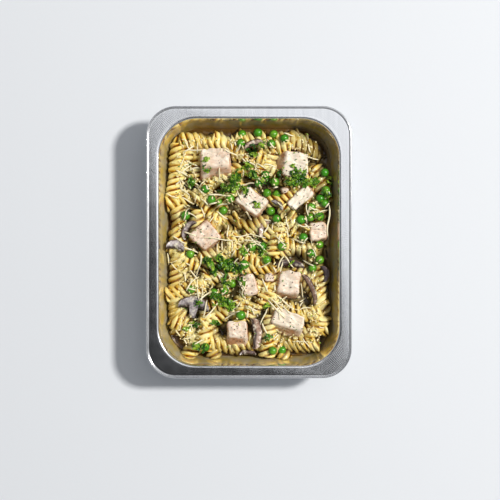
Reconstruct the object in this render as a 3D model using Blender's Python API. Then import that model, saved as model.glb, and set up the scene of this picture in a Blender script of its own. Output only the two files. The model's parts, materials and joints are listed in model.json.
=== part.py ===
"""Foil tray meal: fusilli with roast chicken, peas and mushrooms in cream sauce.

The tray stands on its flat base, with its long side along Y and the origin at the
centre of the base. All sizes below are millimetres and are turned to metres when an
object is made. The food is one heap of pasta with the loose toppings set into it.
"""
import itertools
import math
import random

import bmesh
import bpy
import numpy as np
from mathutils import Matrix, Vector

MM = 0.001

# Tray sizes
TRAY_WIDTH = 173.0
TRAY_LENGTH = 229.0
TRAY_DEPTH = 40.0
FOIL = 0.5
BEAD_RADIUS = 1.2
FLANGE_DROP = 0.8
FLANGE_WIDTH = 9.2
EDGE_RADIUS = 1.6
WALL_LEAN = math.radians(16.0)
BASE_RADIUS = 7.0
OUTER_CORNER = 25.0
OPENING_CORNER = 33.5
CORNER_SHRINK = 0.8
CORNER_STEPS = 6

# Food sizes
GAP = 0.45
CORE_LEVEL = 19.5
CORE_RISE = 2.4
CORE_BUMP = 0.8
LOBE_RADIUS = 7.3
WAIST_RADIUS = 4.1
ROD_RADIUS = 6.5
TWIST_PITCH = 16.5
TWIST_STEP = 2.35
PASTA_TOP = 31.0
PASTA_SINK = 4.6
MOST_TILT = 0.22
PEA_SINK = 1.3
PEA_TOP = 34.3
SLICE_THICKNESS = 3.4
SLICE_SINK = 0.6
SLICE_TOP = 34.3
STRAND_WIDTH = 1.5
STRAND_THICKNESS = 1.0
STRAND_STEP = 6.0
LEAF_THICKNESS = 0.9
LEAF_WIDTHS = (0.35, 1.0, 0.85, 0.2)
LEAF_SPREAD = 0.3
LEAF_WAVE = 0.6
CHUNK_BEVEL = 1.7
CHUNK_CRAG = 0.5
CHUNK_SQUEEZE = 0.08
CHUNK_PULL = 2.4

# The heap: levels and steps inward of its rings, the room cut round toppings, its triangles
CORE_LEVELS = (2.4, 5.2, 10.0)
CORE_EDGE_DROP = 1.5
CORE_STEPS = (5.0, 17.0, 32.0, 48.0)
SPACE_LEVELS = (2.4, 5.2)
SPACE_TOP = 36.0
CELL = 0.5
POCKET_GAP = 0.8
POCKET_TOP = 48.0
BOWL_FOOT = 0.8
BOWL_SIDE = 1.22
PASTA_TRIANGLES = 5600
HEAP_TRIANGLES = 6900

# Fusilli, lowest first: x, y, heading in degrees, length, sideways bend
FUSILLI = (
    (-62, 54, 80, 34, 0), (62, 50, -75, 34, 0), (-60, 8, 95, 32, 0), (59, -72, 60, 26, 0),
    (-39, 85, -6, 40, 1.0), (-16, 81, -28, 38, 0), (-57, 69, 62, 26, 0), (-54, 36, 12, 36, 1.5),
    (-1, 72, -38, 38, 0), (14, 66, 55, 34, 0), (22, 82, -12, 28, 0), (49, 81, -24, 38, 1.0),
    (-31, 24, -62, 40, 0), (-18, 11, -35, 40, 0), (-9, -9, -28, 38, 0), (-28, -13, 32, 36, 0),
    (4, -21, 3, 36, 0), (-4, 7, 18, 34, 0), (37, 17, -62, 34, 0), (44, -8, -25, 36, 0),
    (-56, -23, 101, 40, 0.8), (-54, -41, 14, 34, 0), (-62, -59, 90, 40, 0), (-52, -78, -46, 38, 0),
    (-37, -76, 84, 34, 0), (-24, -87, -14, 36, 0), (-24, -63, 22, 38, 0), (-32, -31, 18, 36, 0),
    (9, -51, 42, 36, 0), (23, -51, -52, 38, 0), (60, -41, -72, 44, -3.0), (48, -61, 4, 34, 0),
    (41, -86, -2, 40, 0.8), (17, -80, 84, 36, 0), (-34, 44, 28, 30, 0), (36, 52, -20, 30, 0),
    (24, 2, 70, 30, 0), (-12, 48, 75, 30, 0), (54, 22, 60, 26, 0),
)

# Peas held in the pasta: x, y, radius
PEAS_IN_PASTA = (
    (64, 59, 3.8), (65, 44, 3.9), (64, 33, 3.6), (60, -2, 3.7), (-45, -88, 3.7), (-37, -89, 3.8),
    (20, -92, 3.7), (28, -92, 3.9), (-33, -19, 3.6), (-22, -19, 3.8), (8, 50, 3.7), (-25, 34, 3.5),
    (-7, 84, 3.9), (30, 88, 3.7),
)

# Cheese strands on the pasta: x and y of one end, x and y of the other
STRANDS = (
    (-47, 41, -50, 32), (-54, 26, -46, 19), (-15, 34, -27, 29), (-37, 34, -33, 27),
    (-9, 7, 12, 3), (-10, 8, 8, -5), (-22, 1, -23, -8), (-27, -1, -26, -9), (-1, -6, -6, -16),
    (23, -25, 29, -12), (29, -13, 37, -22), (45, 9, 54, 6), (-55, -24, -43, -46), (-42, -18, -45, -36),
    (-28, -30, -16, -46), (-22, -46, -31, -54), (-40, -71, -24, -52), (-42, -65, -38, -50),
    (-5, -56, 7, -60), (15, -52, 10, -70), (17, -49, 29, -66), (21, -47, 36, -60), (25, -49, 33, -58),
    (-24, -56, -8, -49), (26, 92, 38, 90), (-43, -90, -50, -86), (8, 68, 13, 63), (-8, 78, 2, 74),
    (-62, -8, -62, -20), (40, 22, 52, 18),
)

# Parsley leaves on the pasta: x, y, heading, length
LEAVES = (
    (-12, 54, 70, 13), (-15, 44, 20, 9), (4, 76, 10, 9), (-50, 52, 50, 8), (-21, -52, 40, 12),
    (-15, -54, -30, 10), (-17, -22, 10, 10), (15, -55, 70, 7), (-30, -69, 30, 8), (-53, -74, 70, 7),
    (5, 58, -30, 8), (-4, -8, 20, 8), (57, 52, -20, 9), (-42, -54, 20, 7),
)

# Roast chicken: x, y, heading, width, depth, height, top level, lean of the top in x and y
CHICKEN = (
    (-28.4, 65.6, 2, 29, 20, 14, 33.0, 0.5, 13.0), (36.2, 66.8, -5, 24.5, 24, 13, 32.5, 9.0, 0.5),
    (44, 38, 42, 27, 13.5, 10, 32.0, 0, 0), (2.6, 34.8, -38, 27, 20, 13, 33.5, -1.0, 1.0),
    (-36.5, 5.2, 42, 24, 23.5, 13, 33.5, 0.5, 1.0), (58.5, 9.3, 4, 17, 19, 11, 31.5, 0, 0.8),
    (-0.5, -36.3, 12, 14.5, 20, 10, 32.0, 0, 0.8), (33.0, -36.2, -3, 21, 23, 13, 33.0, 1.5, 4.0),
    (17.0, -30.5, 5, 10, 9, 9, 31.0, 0, 0), (32.2, -68.5, -20, 31.5, 17.5, 12, 33.0, 0.5, 7.0),
    (-10.2, -79, -2, 19.5, 17.5, 14, 33.5, 0, 11.0), (30.5, 44, 0, 8, 7, 9, 31.0, 0, 0),
)

# Mushroom slices: x, y, heading, width, depth, bend, roll about the width, stem or not
MUSHROOMS = (
    (5, 82, 12, 18, 11, 1.5, 20, False), (-51, 10.5, 55, 18, 12, 2.0, 20, False),
    (-62.5, -5.5, -12, 15.5, 16, 1.5, -10, False), (-47, -55, -10, 26, 19, 2.5, 8, True),
    (35, -20.5, -4, 24, 13, 1.0, 20, False), (52, -39.5, -67, 27, 9.5, 1.5, 28, False),
    (3.5, -77.5, -86, 26, 16, 2.0, -14, False), (13.5, 11, 62, 15, 12, 1.5, 18, False),
    (63.5, -27, -80, 14, 11, 1.0, 15, False), (24, 31.5, -38, 12, 7.5, 1.0, 20, False),
    (-1, -96, 0, 14, 8, 1.0, -10, False),
)

# Loose peas: x, y, radius
PEAS = (
    (-6, 92, 3.9), (7.5, 93, 4.0), (21, 92, 3.8), (19, 83.5, 3.8), (14, 57, 3.9), (22, 51, 4.0),
    (15.2, 42, 4.0), (23.8, 41, 3.8), (18.5, 26.5, 4.0), (23.2, 20, 3.8), (-16, 37, 4.0), (-32, 36, 4.0),
    (-37, 45, 3.8), (-22, 27, 4.0), (-54, 22.5, 4.2), (-50, -10, 4.0), (2.5, -4, 4.1), (11, -3.5, 4.0),
    (15, -15, 3.9), (-4, -19, 4.2), (-14.5, -35, 4.2), (-30, -43, 3.9), (-21, -41, 3.9),
    (-49, -40, 3.7), (-7, -62, 4.4), (46, 4, 4.1), (28, -3.5, 4.0), (53, -9.5, 4.0), (60, -15, 4.0),
    (54, -22, 3.8), (44, 19, 4.2), (52, 21, 3.8), (60, 22, 4.0), (60.3, 37, 4.0), (53, 30, 3.8),
)


def make_material(name, colour, roughness, metallic=0.0):
    """Makes a Principled material from an sRGB colour."""
    material = bpy.data.materials.new(name)
    material.use_nodes = True
    shader = material.node_tree.nodes["Principled BSDF"]
    linear = [((c + 0.055) / 1.055) ** 2.4 if c > 0.04045 else c / 12.92 for c in colour]
    shader.inputs["Base Color"].default_value = (*linear, 1.0)
    shader.inputs["Roughness"].default_value = roughness
    shader.inputs["Metallic"].default_value = metallic
    return material


def add_object(name, points, faces, material=None):
    """Makes a closed mesh object from points in millimetres, with its faces turned out."""
    mesh = bpy.data.meshes.new(name)
    mesh.from_pydata([tuple(c * MM for c in p) for p in points], [], [tuple(f) for f in faces])
    build = bmesh.new()
    build.from_mesh(mesh)
    bmesh.ops.recalc_face_normals(build, faces=build.faces)
    bmesh.ops.triangulate(build, faces=build.faces)
    build.to_mesh(mesh)
    build.free()
    obj = bpy.data.objects.new(name, mesh)
    bpy.context.scene.collection.objects.link(obj)
    if material:
        mesh.materials.append(material)
    return obj


def bridge(rings):
    """Returns the points and the quads between rings of equal length."""
    count = len(rings[0])
    points = [point for ring in rings for point in ring]
    faces = []
    for start in range(0, count * (len(rings) - 1), count):
        for k in range(count):
            after = (k + 1) % count
            faces.append((start + k, start + after, start + count + after, start + count + k))
    return points, faces


def cap(points, faces, first, count, centre):
    """Closes a ring with a fan of triangles around a centre point."""
    points.append(centre)
    middle = len(points) - 1
    for k in range(count):
        faces.append((first + k, first + (k + 1) % count, middle))


# The tray

def rounded_ring(half_x, half_y, radius, z):
    """Returns the points of a rounded rectangle at one height."""
    ring = []
    for corner in range(4):
        centre_x = (half_x - radius) * (1, -1, -1, 1)[corner]
        centre_y = (half_y - radius) * (1, 1, -1, -1)[corner]
        for step in range(CORNER_STEPS + 1):
            angle = math.radians(90 * corner + 90 * step / CORNER_STEPS)
            ring.append((centre_x + radius * math.cos(angle), centre_y + radius * math.sin(angle), z))
    return ring


def corner_radius(inset):
    """Returns the corner radius of the tray at a distance in from its outer edge."""
    bead_end = 2 * BEAD_RADIUS
    if inset <= bead_end:
        return OUTER_CORNER - inset
    if inset >= FLANGE_WIDTH:
        return OPENING_CORNER - CORNER_SHRINK * (inset - FLANGE_WIDTH)
    share = (inset - bead_end) / (FLANGE_WIDTH - bead_end)
    start = OUTER_CORNER - bead_end
    return start + share * (OPENING_CORNER - start)


def tray_ring(inset, z, reference):
    """Returns the ring of the tray's surface whose matching inner point has the reference inset."""
    radius = corner_radius(reference) + reference - inset
    return rounded_ring(TRAY_WIDTH / 2 - inset, TRAY_LENGTH / 2 - inset, radius, z)


def arc(centre, radius, start, end, steps):
    """Returns points of an arc, in degrees from the inward direction."""
    angles = [math.radians(start + (end - start) * k / steps) for k in range(steps + 1)]
    return [(centre[0] + radius * math.cos(a), centre[1] + radius * math.sin(a)) for a in angles]


FLANGE_TOP = TRAY_DEPTH - FLANGE_DROP
EDGE_CENTRE = (FLANGE_WIDTH, FLANGE_TOP - EDGE_RADIUS)
WALL_TOP = (EDGE_CENTRE[0] + EDGE_RADIUS * math.cos(WALL_LEAN),
            EDGE_CENTRE[1] + EDGE_RADIUS * math.sin(WALL_LEAN))
WALL_FOOT_Z = FOIL + BASE_RADIUS * (1 - math.sin(WALL_LEAN))
WALL_FOOT = (WALL_TOP[0] + (WALL_TOP[1] - WALL_FOOT_Z) * math.tan(WALL_LEAN), WALL_FOOT_Z)
BASE_CENTRE = (WALL_FOOT[0] + BASE_RADIUS * math.cos(WALL_LEAN), FOIL + BASE_RADIUS)


def wall_inset(z):
    """Returns how far in from the outer edge the inside of the wall is at a height."""
    if z > WALL_FOOT[1]:
        return WALL_TOP[0] + (WALL_TOP[1] - z) * math.tan(WALL_LEAN)
    drop = BASE_CENTRE[1] - z
    return BASE_CENTRE[0] - math.sqrt(BASE_RADIUS ** 2 - drop ** 2)


def hollow_ring(z, gap, inward=0.0):
    """Returns a ring inside the tray's wall, a gap off it and drawn in further if wanted."""
    inset = wall_inset(z) + gap
    radius = max(corner_radius(inset) - inward, 4.0)
    return rounded_ring(TRAY_WIDTH / 2 - inset - inward, TRAY_LENGTH / 2 - inset - inward, radius, z)


def build_tray():
    """Carries one closed profile round the tray: inside wall, flange, rolled edge, outside wall."""
    lean = math.degrees(WALL_LEAN)
    inner_base = arc(BASE_CENTRE, BASE_RADIUS, 270, 180 + lean, 4)
    inner_edge = arc(EDGE_CENTRE, EDGE_RADIUS, lean, 90, 3)
    bead_centre = (BEAD_RADIUS, TRAY_DEPTH - BEAD_RADIUS)
    bead_start = math.degrees(math.asin((FLANGE_TOP - bead_centre[1]) / BEAD_RADIUS))
    bead_end = 360 + math.degrees(math.asin((FLANGE_TOP - FOIL - bead_centre[1]) / BEAD_RADIUS))
    bead = arc(bead_centre, BEAD_RADIUS, bead_start, bead_end, 8)
    outer_edge = arc(EDGE_CENTRE, EDGE_RADIUS - FOIL, 90, lean, 3)
    outer_base = arc(BASE_CENTRE, BASE_RADIUS + FOIL, 180 + lean, 270, 4)
    profile = [(d, z, d) for d, z in inner_base + inner_edge + bead]
    profile += [(d, z, r) for (d, z), (r, _) in zip(outer_edge, reversed(inner_edge))]
    profile += [(d, z, r) for (d, z), (r, _) in zip(outer_base, reversed(inner_base))]
    points, faces = bridge([tray_ring(*station) for station in profile])
    count = 4 * (CORNER_STEPS + 1)
    cap(points, faces, 0, count, (0, 0, FOIL))
    cap(points, faces, count * (len(profile) - 1), count, (0, 0, 0))
    return add_object("foil_tray", points, faces, make_material("foil", (0.80, 0.81, 0.82), 0.25, 1.0))


# The level of the food, kept on a grid of heights

GRID_X, GRID_Y = np.meshgrid(np.arange(-78, 78 + CELL, CELL), np.arange(-106, 106 + CELL, CELL))


def core_level(x, y):
    """Returns the uneven top of the sauce and pasta that carries the pieces which show."""
    dome = (1 - (x / 76) ** 2) * (1 - (y / 104) ** 2)
    bumps = np.sin(x / 9.0 + 0.6) * np.cos(y / 11.0) + 0.5 * np.sin((x + y) / 6.0)
    return CORE_LEVEL + CORE_RISE * dome + CORE_BUMP * bumps


def level_at(field, x, y):
    """Returns the height of a field at a place."""
    column = int(round((x - GRID_X[0, 0]) / CELL))
    row = int(round((y - GRID_Y[0, 0]) / CELL))
    return float(field[row, column])


def settle_rod(field, x, y, heading, length):
    """Lays a rod on the field, resting at one point of each half, and adds it to the field.

    Returns the height of its middle and its slope along its length.
    """
    angle = math.radians(heading)
    along = (GRID_X - x) * math.cos(angle) + (GRID_Y - y) * math.sin(angle)
    across = (GRID_Y - y) * math.cos(angle) - (GRID_X - x) * math.sin(angle)
    under = (np.abs(along) <= length / 2) & (np.abs(across) < ROD_RADIUS)
    depth = np.sqrt(np.maximum(ROD_RADIUS ** 2 - across ** 2, 0))
    need = np.where(under, field + depth, -np.inf)
    left = np.unravel_index(np.argmax(np.where(along < 0, need, -np.inf)), need.shape)
    right = np.unravel_index(np.argmax(np.where(along >= 0, need, -np.inf)), need.shape)
    run = max(along[right] - along[left], length / 3)
    slope = float(np.clip((need[right] - need[left]) / run, -MOST_TILT, MOST_TILT))
    middle = float(np.max(np.where(under, need - slope * along, -np.inf))) - PASTA_SINK
    middle = min(middle, PASTA_TOP - LOBE_RADIUS - abs(slope) * length / 2)
    top = np.where(under, middle + slope * along + depth, -np.inf)
    np.maximum(field, top, out=field)
    return middle, slope


def settle_ball(field, x, y, radius):
    """Returns the height of the centre of a ball that rests on the field."""
    away = (GRID_X - x) ** 2 + (GRID_Y - y) ** 2
    need = np.where(away < radius ** 2, field + np.sqrt(np.maximum(radius ** 2 - away, 0)), -np.inf)
    return float(np.max(need))


def raster(points, faces, highest):
    """Returns the height of a mesh on the grid, seen from above or from below."""
    result = np.full(GRID_X.shape, -np.inf if highest else np.inf)
    for face in faces:
        a, b, c = (points[k] for k in face)
        columns = [int(math.floor((min(a[0], b[0], c[0]) - GRID_X[0, 0]) / CELL)),
                   int(math.ceil((max(a[0], b[0], c[0]) - GRID_X[0, 0]) / CELL)) + 1]
        rows = [int(math.floor((min(a[1], b[1], c[1]) - GRID_Y[0, 0]) / CELL)),
                int(math.ceil((max(a[1], b[1], c[1]) - GRID_Y[0, 0]) / CELL)) + 1]
        window = (slice(*rows), slice(*columns))
        x, y = GRID_X[window], GRID_Y[window]
        area = (b[0] - a[0]) * (c[1] - a[1]) - (c[0] - a[0]) * (b[1] - a[1])
        if abs(area) < 1e-9:
            continue
        v = ((x - a[0]) * (c[1] - a[1]) - (c[0] - a[0]) * (y - a[1])) / area
        w = ((b[0] - a[0]) * (y - a[1]) - (x - a[0]) * (b[1] - a[1])) / area
        inside = (v >= -1e-6) & (w >= -1e-6) & (v + w <= 1 + 1e-6)
        z = a[2] + v * (b[2] - a[2]) + w * (c[2] - a[2])
        part = result[window]
        part[inside] = np.maximum(part, z)[inside] if highest else np.minimum(part, z)[inside]
    return result


def mesh_of(obj):
    """Returns an object's points in millimetres and its triangles."""
    points = [tuple(c / MM for c in vertex.co) for vertex in obj.data.vertices]
    return points, [tuple(face.vertices) for face in obj.data.polygons]


def place(points, x, y, z, heading, slope=0.0, roll=0.0):
    """Rolls, tilts and turns points about the origin and then moves them."""
    turn = Matrix.Rotation(math.radians(heading), 4, "Z")
    tilt = Matrix.Rotation(-math.atan(slope), 4, "Y")
    lean = Matrix.Rotation(math.radians(roll), 4, "X")
    move = Matrix.Translation((x, y, z)) @ turn @ tilt @ lean
    return [tuple(move @ Vector(p)) for p in points]


# The pieces of food

def build_core(material):
    """Makes the body of sauce and pasta that fills the tray up to the pieces which show."""
    bottom = FOIL + GAP
    rings = [hollow_ring(z, GAP) for z in (bottom, *CORE_LEVELS, CORE_LEVEL - CORE_EDGE_DROP)]
    for inward in CORE_STEPS:
        ring = hollow_ring(CORE_LEVEL, GAP, inward)
        rings.append([(x, y, float(core_level(x, y))) for x, y, _ in ring])
    points, faces = bridge(rings)
    count = len(rings[0])
    cap(points, faces, 0, count, (0, 0, bottom))
    cap(points, faces, count * (len(rings) - 1), count, (0, 0, float(core_level(0, 0))))
    return add_object("pasta_heap", points, faces, material)


def fusillo(length, start, bend):
    """Returns a three-lobed section carried along its axis while it turns, like a screw."""
    steps = round(length / TWIST_STEP)
    rings = []
    for step in range(steps + 1):
        along = length * (step / steps - 0.5)
        turn = start + 2 * math.pi * along / TWIST_PITCH
        side = bend * (1 - (2 * along / length) ** 2)
        ring = []
        for k in range(6):
            radius = LOBE_RADIUS if k % 2 == 0 else WAIST_RADIUS
            angle = turn + k * math.pi / 3
            ring.append((along, side + radius * math.cos(angle), radius * math.sin(angle)))
        rings.append(ring)
    points, faces = bridge(rings)
    cap(points, faces, 0, 6, (-length / 2, 0, 0))
    cap(points, faces, 6 * steps, 6, (length / 2, 0, 0))
    return points, faces


def ball(x, y, z, radius, name, material):
    """Makes a pea as a ball of 80 triangles."""
    build = bmesh.new()
    bmesh.ops.create_icosphere(build, subdivisions=2, radius=radius)
    points = [tuple(Vector((x, y, z)) + vertex.co) for vertex in build.verts]
    faces = [tuple(vertex.index for vertex in face.verts) for face in build.faces]
    build.free()
    return add_object(name, points, faces, material)


def ribbon(stations, width, thickness):
    """Returns a flat strip through its stations, square in section."""
    rings = []
    for k, station in enumerate(stations):
        before = Vector(stations[max(k - 1, 0)])
        after = Vector(stations[min(k + 1, len(stations) - 1)])
        ahead = (after - before).normalized()
        side = Vector((-ahead.y, ahead.x, 0)).normalized() * width / 2
        up = Vector((0, 0, thickness / 2))
        middle = Vector(station)
        corners = ((1, 1), (-1, 1), (-1, -1), (1, -1))
        rings.append([tuple(middle + a * side + b * up) for a, b in corners])
    points, faces = bridge(rings)
    faces.append((3, 2, 1, 0))
    last = 4 * (len(rings) - 1)
    faces.append((last, last + 1, last + 2, last + 3))
    return points, faces


def strand_stations(field, start_x, start_y, end_x, end_y):
    """Lays the middle line of a cheese strand on the pasta."""
    count = max(2, round(math.hypot(end_x - start_x, end_y - start_y) / STRAND_STEP))
    stations = []
    for k in range(count + 1):
        x = start_x + (end_x - start_x) * k / count
        y = start_y + (end_y - start_y) * k / count
        stations.append((x, y, level_at(field, x, y)))
    return stations


def leaf(field, x, y, heading, length):
    """Returns a thin wavy leaf on the pasta, widest at its middle, with both faces alike."""
    angle = math.radians(heading)
    upper, lower = [], []
    for k, share in enumerate(LEAF_WIDTHS):
        along = length * (k / (len(LEAF_WIDTHS) - 1) - 0.5)
        for side in (-1, 0, 1):
            across = side * share * length * LEAF_SPREAD
            px = x + along * math.cos(angle) - across * math.sin(angle)
            py = y + along * math.sin(angle) + across * math.cos(angle)
            wave = LEAF_WAVE * (math.sin(2.2 * k + 1.7 * side) + 1 / 3)
            z = (level_at(field, px, py) + level_at(field, x, y)) / 2 + wave
            upper.append((px, py, z + LEAF_THICKNESS / 2))
            lower.append((px, py, z - LEAF_THICKNESS / 2))
    faces = []
    size = len(upper)
    for k in range(len(LEAF_WIDTHS) - 1):
        for side in range(2):
            a = 3 * k + side
            faces.append((a, a + 1, a + 4, a + 3))
            faces.append((size + a, size + a + 3, size + a + 4, size + a + 1))
    rim = [0, 1, 2, 5, 8, 11, 10, 9, 6, 3]
    for a, b in zip(rim, rim[1:] + rim[:1]):
        faces.append((a, size + a, size + b, b))
    return upper + lower, faces


def chunk(width, depth, height, lean_x, lean_y, seed):
    """Returns a cut block of meat: rounded edges, wider at its foot, with small crags.

    Each corner of the block is drawn in by its own amount, and what lies between
    the corners follows them by its share of the way.
    """
    draw = random.Random(seed)
    half = (width / 2, depth / 2, height / 2)
    signs = list(itertools.product((-1, 1), repeat=3))
    pulls = [[draw.uniform(0, CHUNK_PULL) for _ in range(2)] for _ in signs]
    bevel = min(CHUNK_BEVEL, min(half) / 2)
    lines = [(-h, -h + bevel, h - bevel, h) for h in half]
    points, index = [], {}
    for key in itertools.product(range(4), repeat=3):
        if all(k in (1, 2) for k in key):
            continue
        raw = Vector([line[k] for line, k in zip(lines, key)])
        core = Vector([max(-h + bevel, min(h - bevel, c)) for c, h in zip(raw, half)])
        point = core + (raw - core).normalized() * (bevel + draw.uniform(-CHUNK_CRAG, CHUNK_CRAG))
        x, y = point.x, point.y
        for sign, pull in zip(signs, pulls):
            shares = [max(-1, min(1, c / h)) for c, h in zip(point, half)]
            share = math.prod((1 + s * c) / 2 for s, c in zip(sign, shares))
            x -= sign[0] * pull[0] * share
            y -= sign[1] * pull[1] * share
        rise = point.z / height
        squeeze = 1 - CHUNK_SQUEEZE * (rise + 0.5)
        index[key] = len(points)
        points.append((x * squeeze + lean_x * rise, y * squeeze + lean_y * rise, point.z))
    faces = []
    for a, b in itertools.product(range(3), repeat=2):
        for end in (0, 3):
            sides = (((end, a, b), (end, a + 1, b), (end, a + 1, b + 1), (end, a, b + 1)),
                     ((a, end, b), (a + 1, end, b), (a + 1, end, b + 1), (a, end, b + 1)),
                     ((a, b, end), (a + 1, b, end), (a + 1, b + 1, end), (a, b + 1, end)))
            faces.extend(tuple(index[key] for key in side) for side in sides)
    return points, faces


def slice_outline(share, stem):
    """Returns the upper and lower edge of a mushroom slice at a share of its half width."""
    dome = math.sqrt(max(1 - share * share, 0.0)) * 0.9 + 0.1
    if stem and abs(share) <= 0.21:
        return dome, -1.0
    return dome, -0.25 + 0.3 * (1 - abs(share))


def mushroom_slice(width, depth, bend, stem):
    """Returns a slice of mushroom: a domed cap, gills below it, a stem if wanted, and a bend."""
    shares = (-1, -0.8, -0.45, 0, 0.45, 0.8, 1)
    if stem:
        shares = (-1, -0.8, -0.5, -0.24, -0.2, 0.2, 0.24, 0.5, 0.8, 1)
    rings = []
    for share in shares:
        upper, lower = slice_outline(share, stem)
        x = share * width / 2
        rise = bend * share * share
        thick = SLICE_THICKNESS / 2
        rings.append([(x, upper * depth / 2, rise + thick), (x, lower * depth / 2, rise + thick),
                      (x, lower * depth / 2, rise - thick), (x, upper * depth / 2, rise - thick)])
    points, faces = bridge(rings)
    faces.append((3, 2, 1, 0))
    last = 4 * (len(rings) - 1)
    faces.append((last, last + 1, last + 2, last + 3))
    return points, faces


# Cutting and joining

def hull(name, points):
    """Makes the convex hull of points."""
    build = bmesh.new()
    vertices = [build.verts.new(tuple(c * MM for c in p)) for p in points]
    result = bmesh.ops.convex_hull(build, input=vertices)
    spare = {v for v in result["geom_interior"] if isinstance(v, bmesh.types.BMVert)}
    bmesh.ops.delete(build, geom=list(spare), context="VERTS")
    bmesh.ops.recalc_face_normals(build, faces=build.faces)
    mesh = bpy.data.meshes.new(name)
    build.to_mesh(mesh)
    build.free()
    obj = bpy.data.objects.new(name, mesh)
    bpy.context.scene.collection.objects.link(obj)
    return obj


def pocket(points, heading):
    """Makes the upright eight-sided space that a topping needs in the heap, open above it.

    Each side stands just clear of the outermost point in its own direction, and each
    corner is where two neighbouring sides meet.
    """
    angles = [math.radians(heading + 45 * k) for k in range(8)]
    reach = []
    for a in angles:
        reach.append(max(x * math.cos(a) + y * math.sin(a) for x, y, _ in points) + POCKET_GAP)
    low = min(z for _, _, z in points) - POCKET_GAP
    corners = []
    for k in range(8):
        a, b = angles[k], angles[(k + 1) % 8]
        near, far = reach[k], reach[(k + 1) % 8]
        turn = math.sin(b - a)
        x = (near * math.sin(b) - far * math.sin(a)) / turn
        y = (far * math.cos(a) - near * math.cos(b)) / turn
        corners += [(x, y, low), (x, y, POCKET_TOP)]
    return hull("pocket", corners)


def pea_pocket(x, y, z, room):
    """Makes a six-sided bowl that just holds a ball of a radius and is open above it."""
    points = []
    for share, level in ((BOWL_FOOT, z - room), (BOWL_SIDE, z), (BOWL_SIDE, POCKET_TOP)):
        for k in range(6):
            angle = math.radians(60 * k)
            points.append((x + share * room * math.cos(angle), y + share * room * math.sin(angle), level))
    return hull("pocket", points)


def cut_pockets(heap, blocks, balls):
    """Cuts the space of each topping out of the heap, with a little room round it."""
    headings = [entry[2] for entry in CHICKEN + MUSHROOMS]
    pockets = [pocket(mesh_of(node)[0], heading) for node, heading in zip(blocks, headings)]
    pockets += [pea_pocket(x, y, z, radius + POCKET_GAP) for x, y, z, radius in balls]
    combine(heap, pockets, "DIFFERENCE")


def combine(obj, pieces, operation):
    """Joins a list of objects to one, cuts them out or keeps what they share, and removes them."""
    group = bpy.data.collections.new("pieces")
    bpy.context.scene.collection.children.link(group)
    for piece in pieces:
        bpy.context.scene.collection.objects.unlink(piece)
        group.objects.link(piece)
    modifier = obj.modifiers.new("combine", "BOOLEAN")
    modifier.operand_type = "COLLECTION"
    modifier.collection = group
    modifier.operation = operation
    modifier.solver = "MANIFOLD"
    graph = bpy.context.evaluated_depsgraph_get()
    result = bpy.data.meshes.new_from_object(obj.evaluated_get(graph))
    obj.modifiers.clear()
    obj.data = result
    for piece in pieces:
        bpy.data.objects.remove(piece)
    bpy.data.collections.remove(group)


def thin_out(obj, triangles):
    """Collapses the shortest and flattest edges until the mesh has about so many triangles."""
    modifier = obj.modifiers.new("thin out", "DECIMATE")
    modifier.ratio = triangles / sum(len(face.vertices) - 2 for face in obj.data.polygons)
    graph = bpy.context.evaluated_depsgraph_get()
    result = bpy.data.meshes.new_from_object(obj.evaluated_get(graph))
    obj.modifiers.clear()
    obj.data = result


def keep_largest(obj):
    """Fills sealed hollows and drops scraps by keeping the largest connected part."""
    build = bmesh.new()
    build.from_mesh(obj.data)
    left = set(build.verts)
    islands = []
    while left:
        stack = [left.pop()]
        island = set(stack)
        while stack:
            for edge in stack.pop().link_edges:
                for vertex in edge.verts:
                    if vertex in left:
                        left.discard(vertex)
                        island.add(vertex)
                        stack.append(vertex)
        islands.append(island)
    islands.sort(key=len)
    for island in islands[:-1]:
        bmesh.ops.delete(build, geom=list(island), context="VERTS")
    bmesh.ops.triangulate(build, faces=build.faces)
    build.to_mesh(obj.data)
    build.free()


def build_pasta(field, material):
    """Makes the heap's core and every piece that is fused to it, before the toppings are cut out."""
    draw = random.Random(7)
    core = build_core(material)
    pieces = []
    for x, y, heading, length, bend in FUSILLI:
        middle, slope = settle_rod(field, x, y, heading, length)
        points, faces = fusillo(length, draw.uniform(0, 2 * math.pi), bend)
        pieces.append(add_object("piece", place(points, x, y, middle, heading, slope), faces))
    for x, y, radius in PEAS_IN_PASTA:
        z = min(settle_ball(field, x, y, radius) - PEA_SINK, PEA_TOP - radius)
        pieces.append(ball(x, y, z, radius, "piece", None))
    for ends in STRANDS:
        points, faces = ribbon(strand_stations(field, *ends), STRAND_WIDTH, STRAND_THICKNESS)
        pieces.append(add_object("piece", points, faces))
    for x, y, heading, length in LEAVES:
        points, faces = leaf(field, x, y, heading, length)
        pieces.append(add_object("piece", points, faces))
    combine(core, pieces, "UNION")
    keep_largest(core)
    thin_out(core, PASTA_TRIANGLES)
    return core


def build_chicken(material):
    """Makes the blocks of chicken, each with its top at its own level."""
    nodes = []
    for number, entry in enumerate(CHICKEN, start=1):
        x, y, heading, width, depth, height, top, lean_x, lean_y = entry
        points, faces = chunk(width, depth, height, lean_x, lean_y, number)
        placed = place(points, x, y, top - height / 2, heading)
        nodes.append(add_object(f"chicken_{number:02d}", placed, faces, material))
    return nodes


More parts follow.
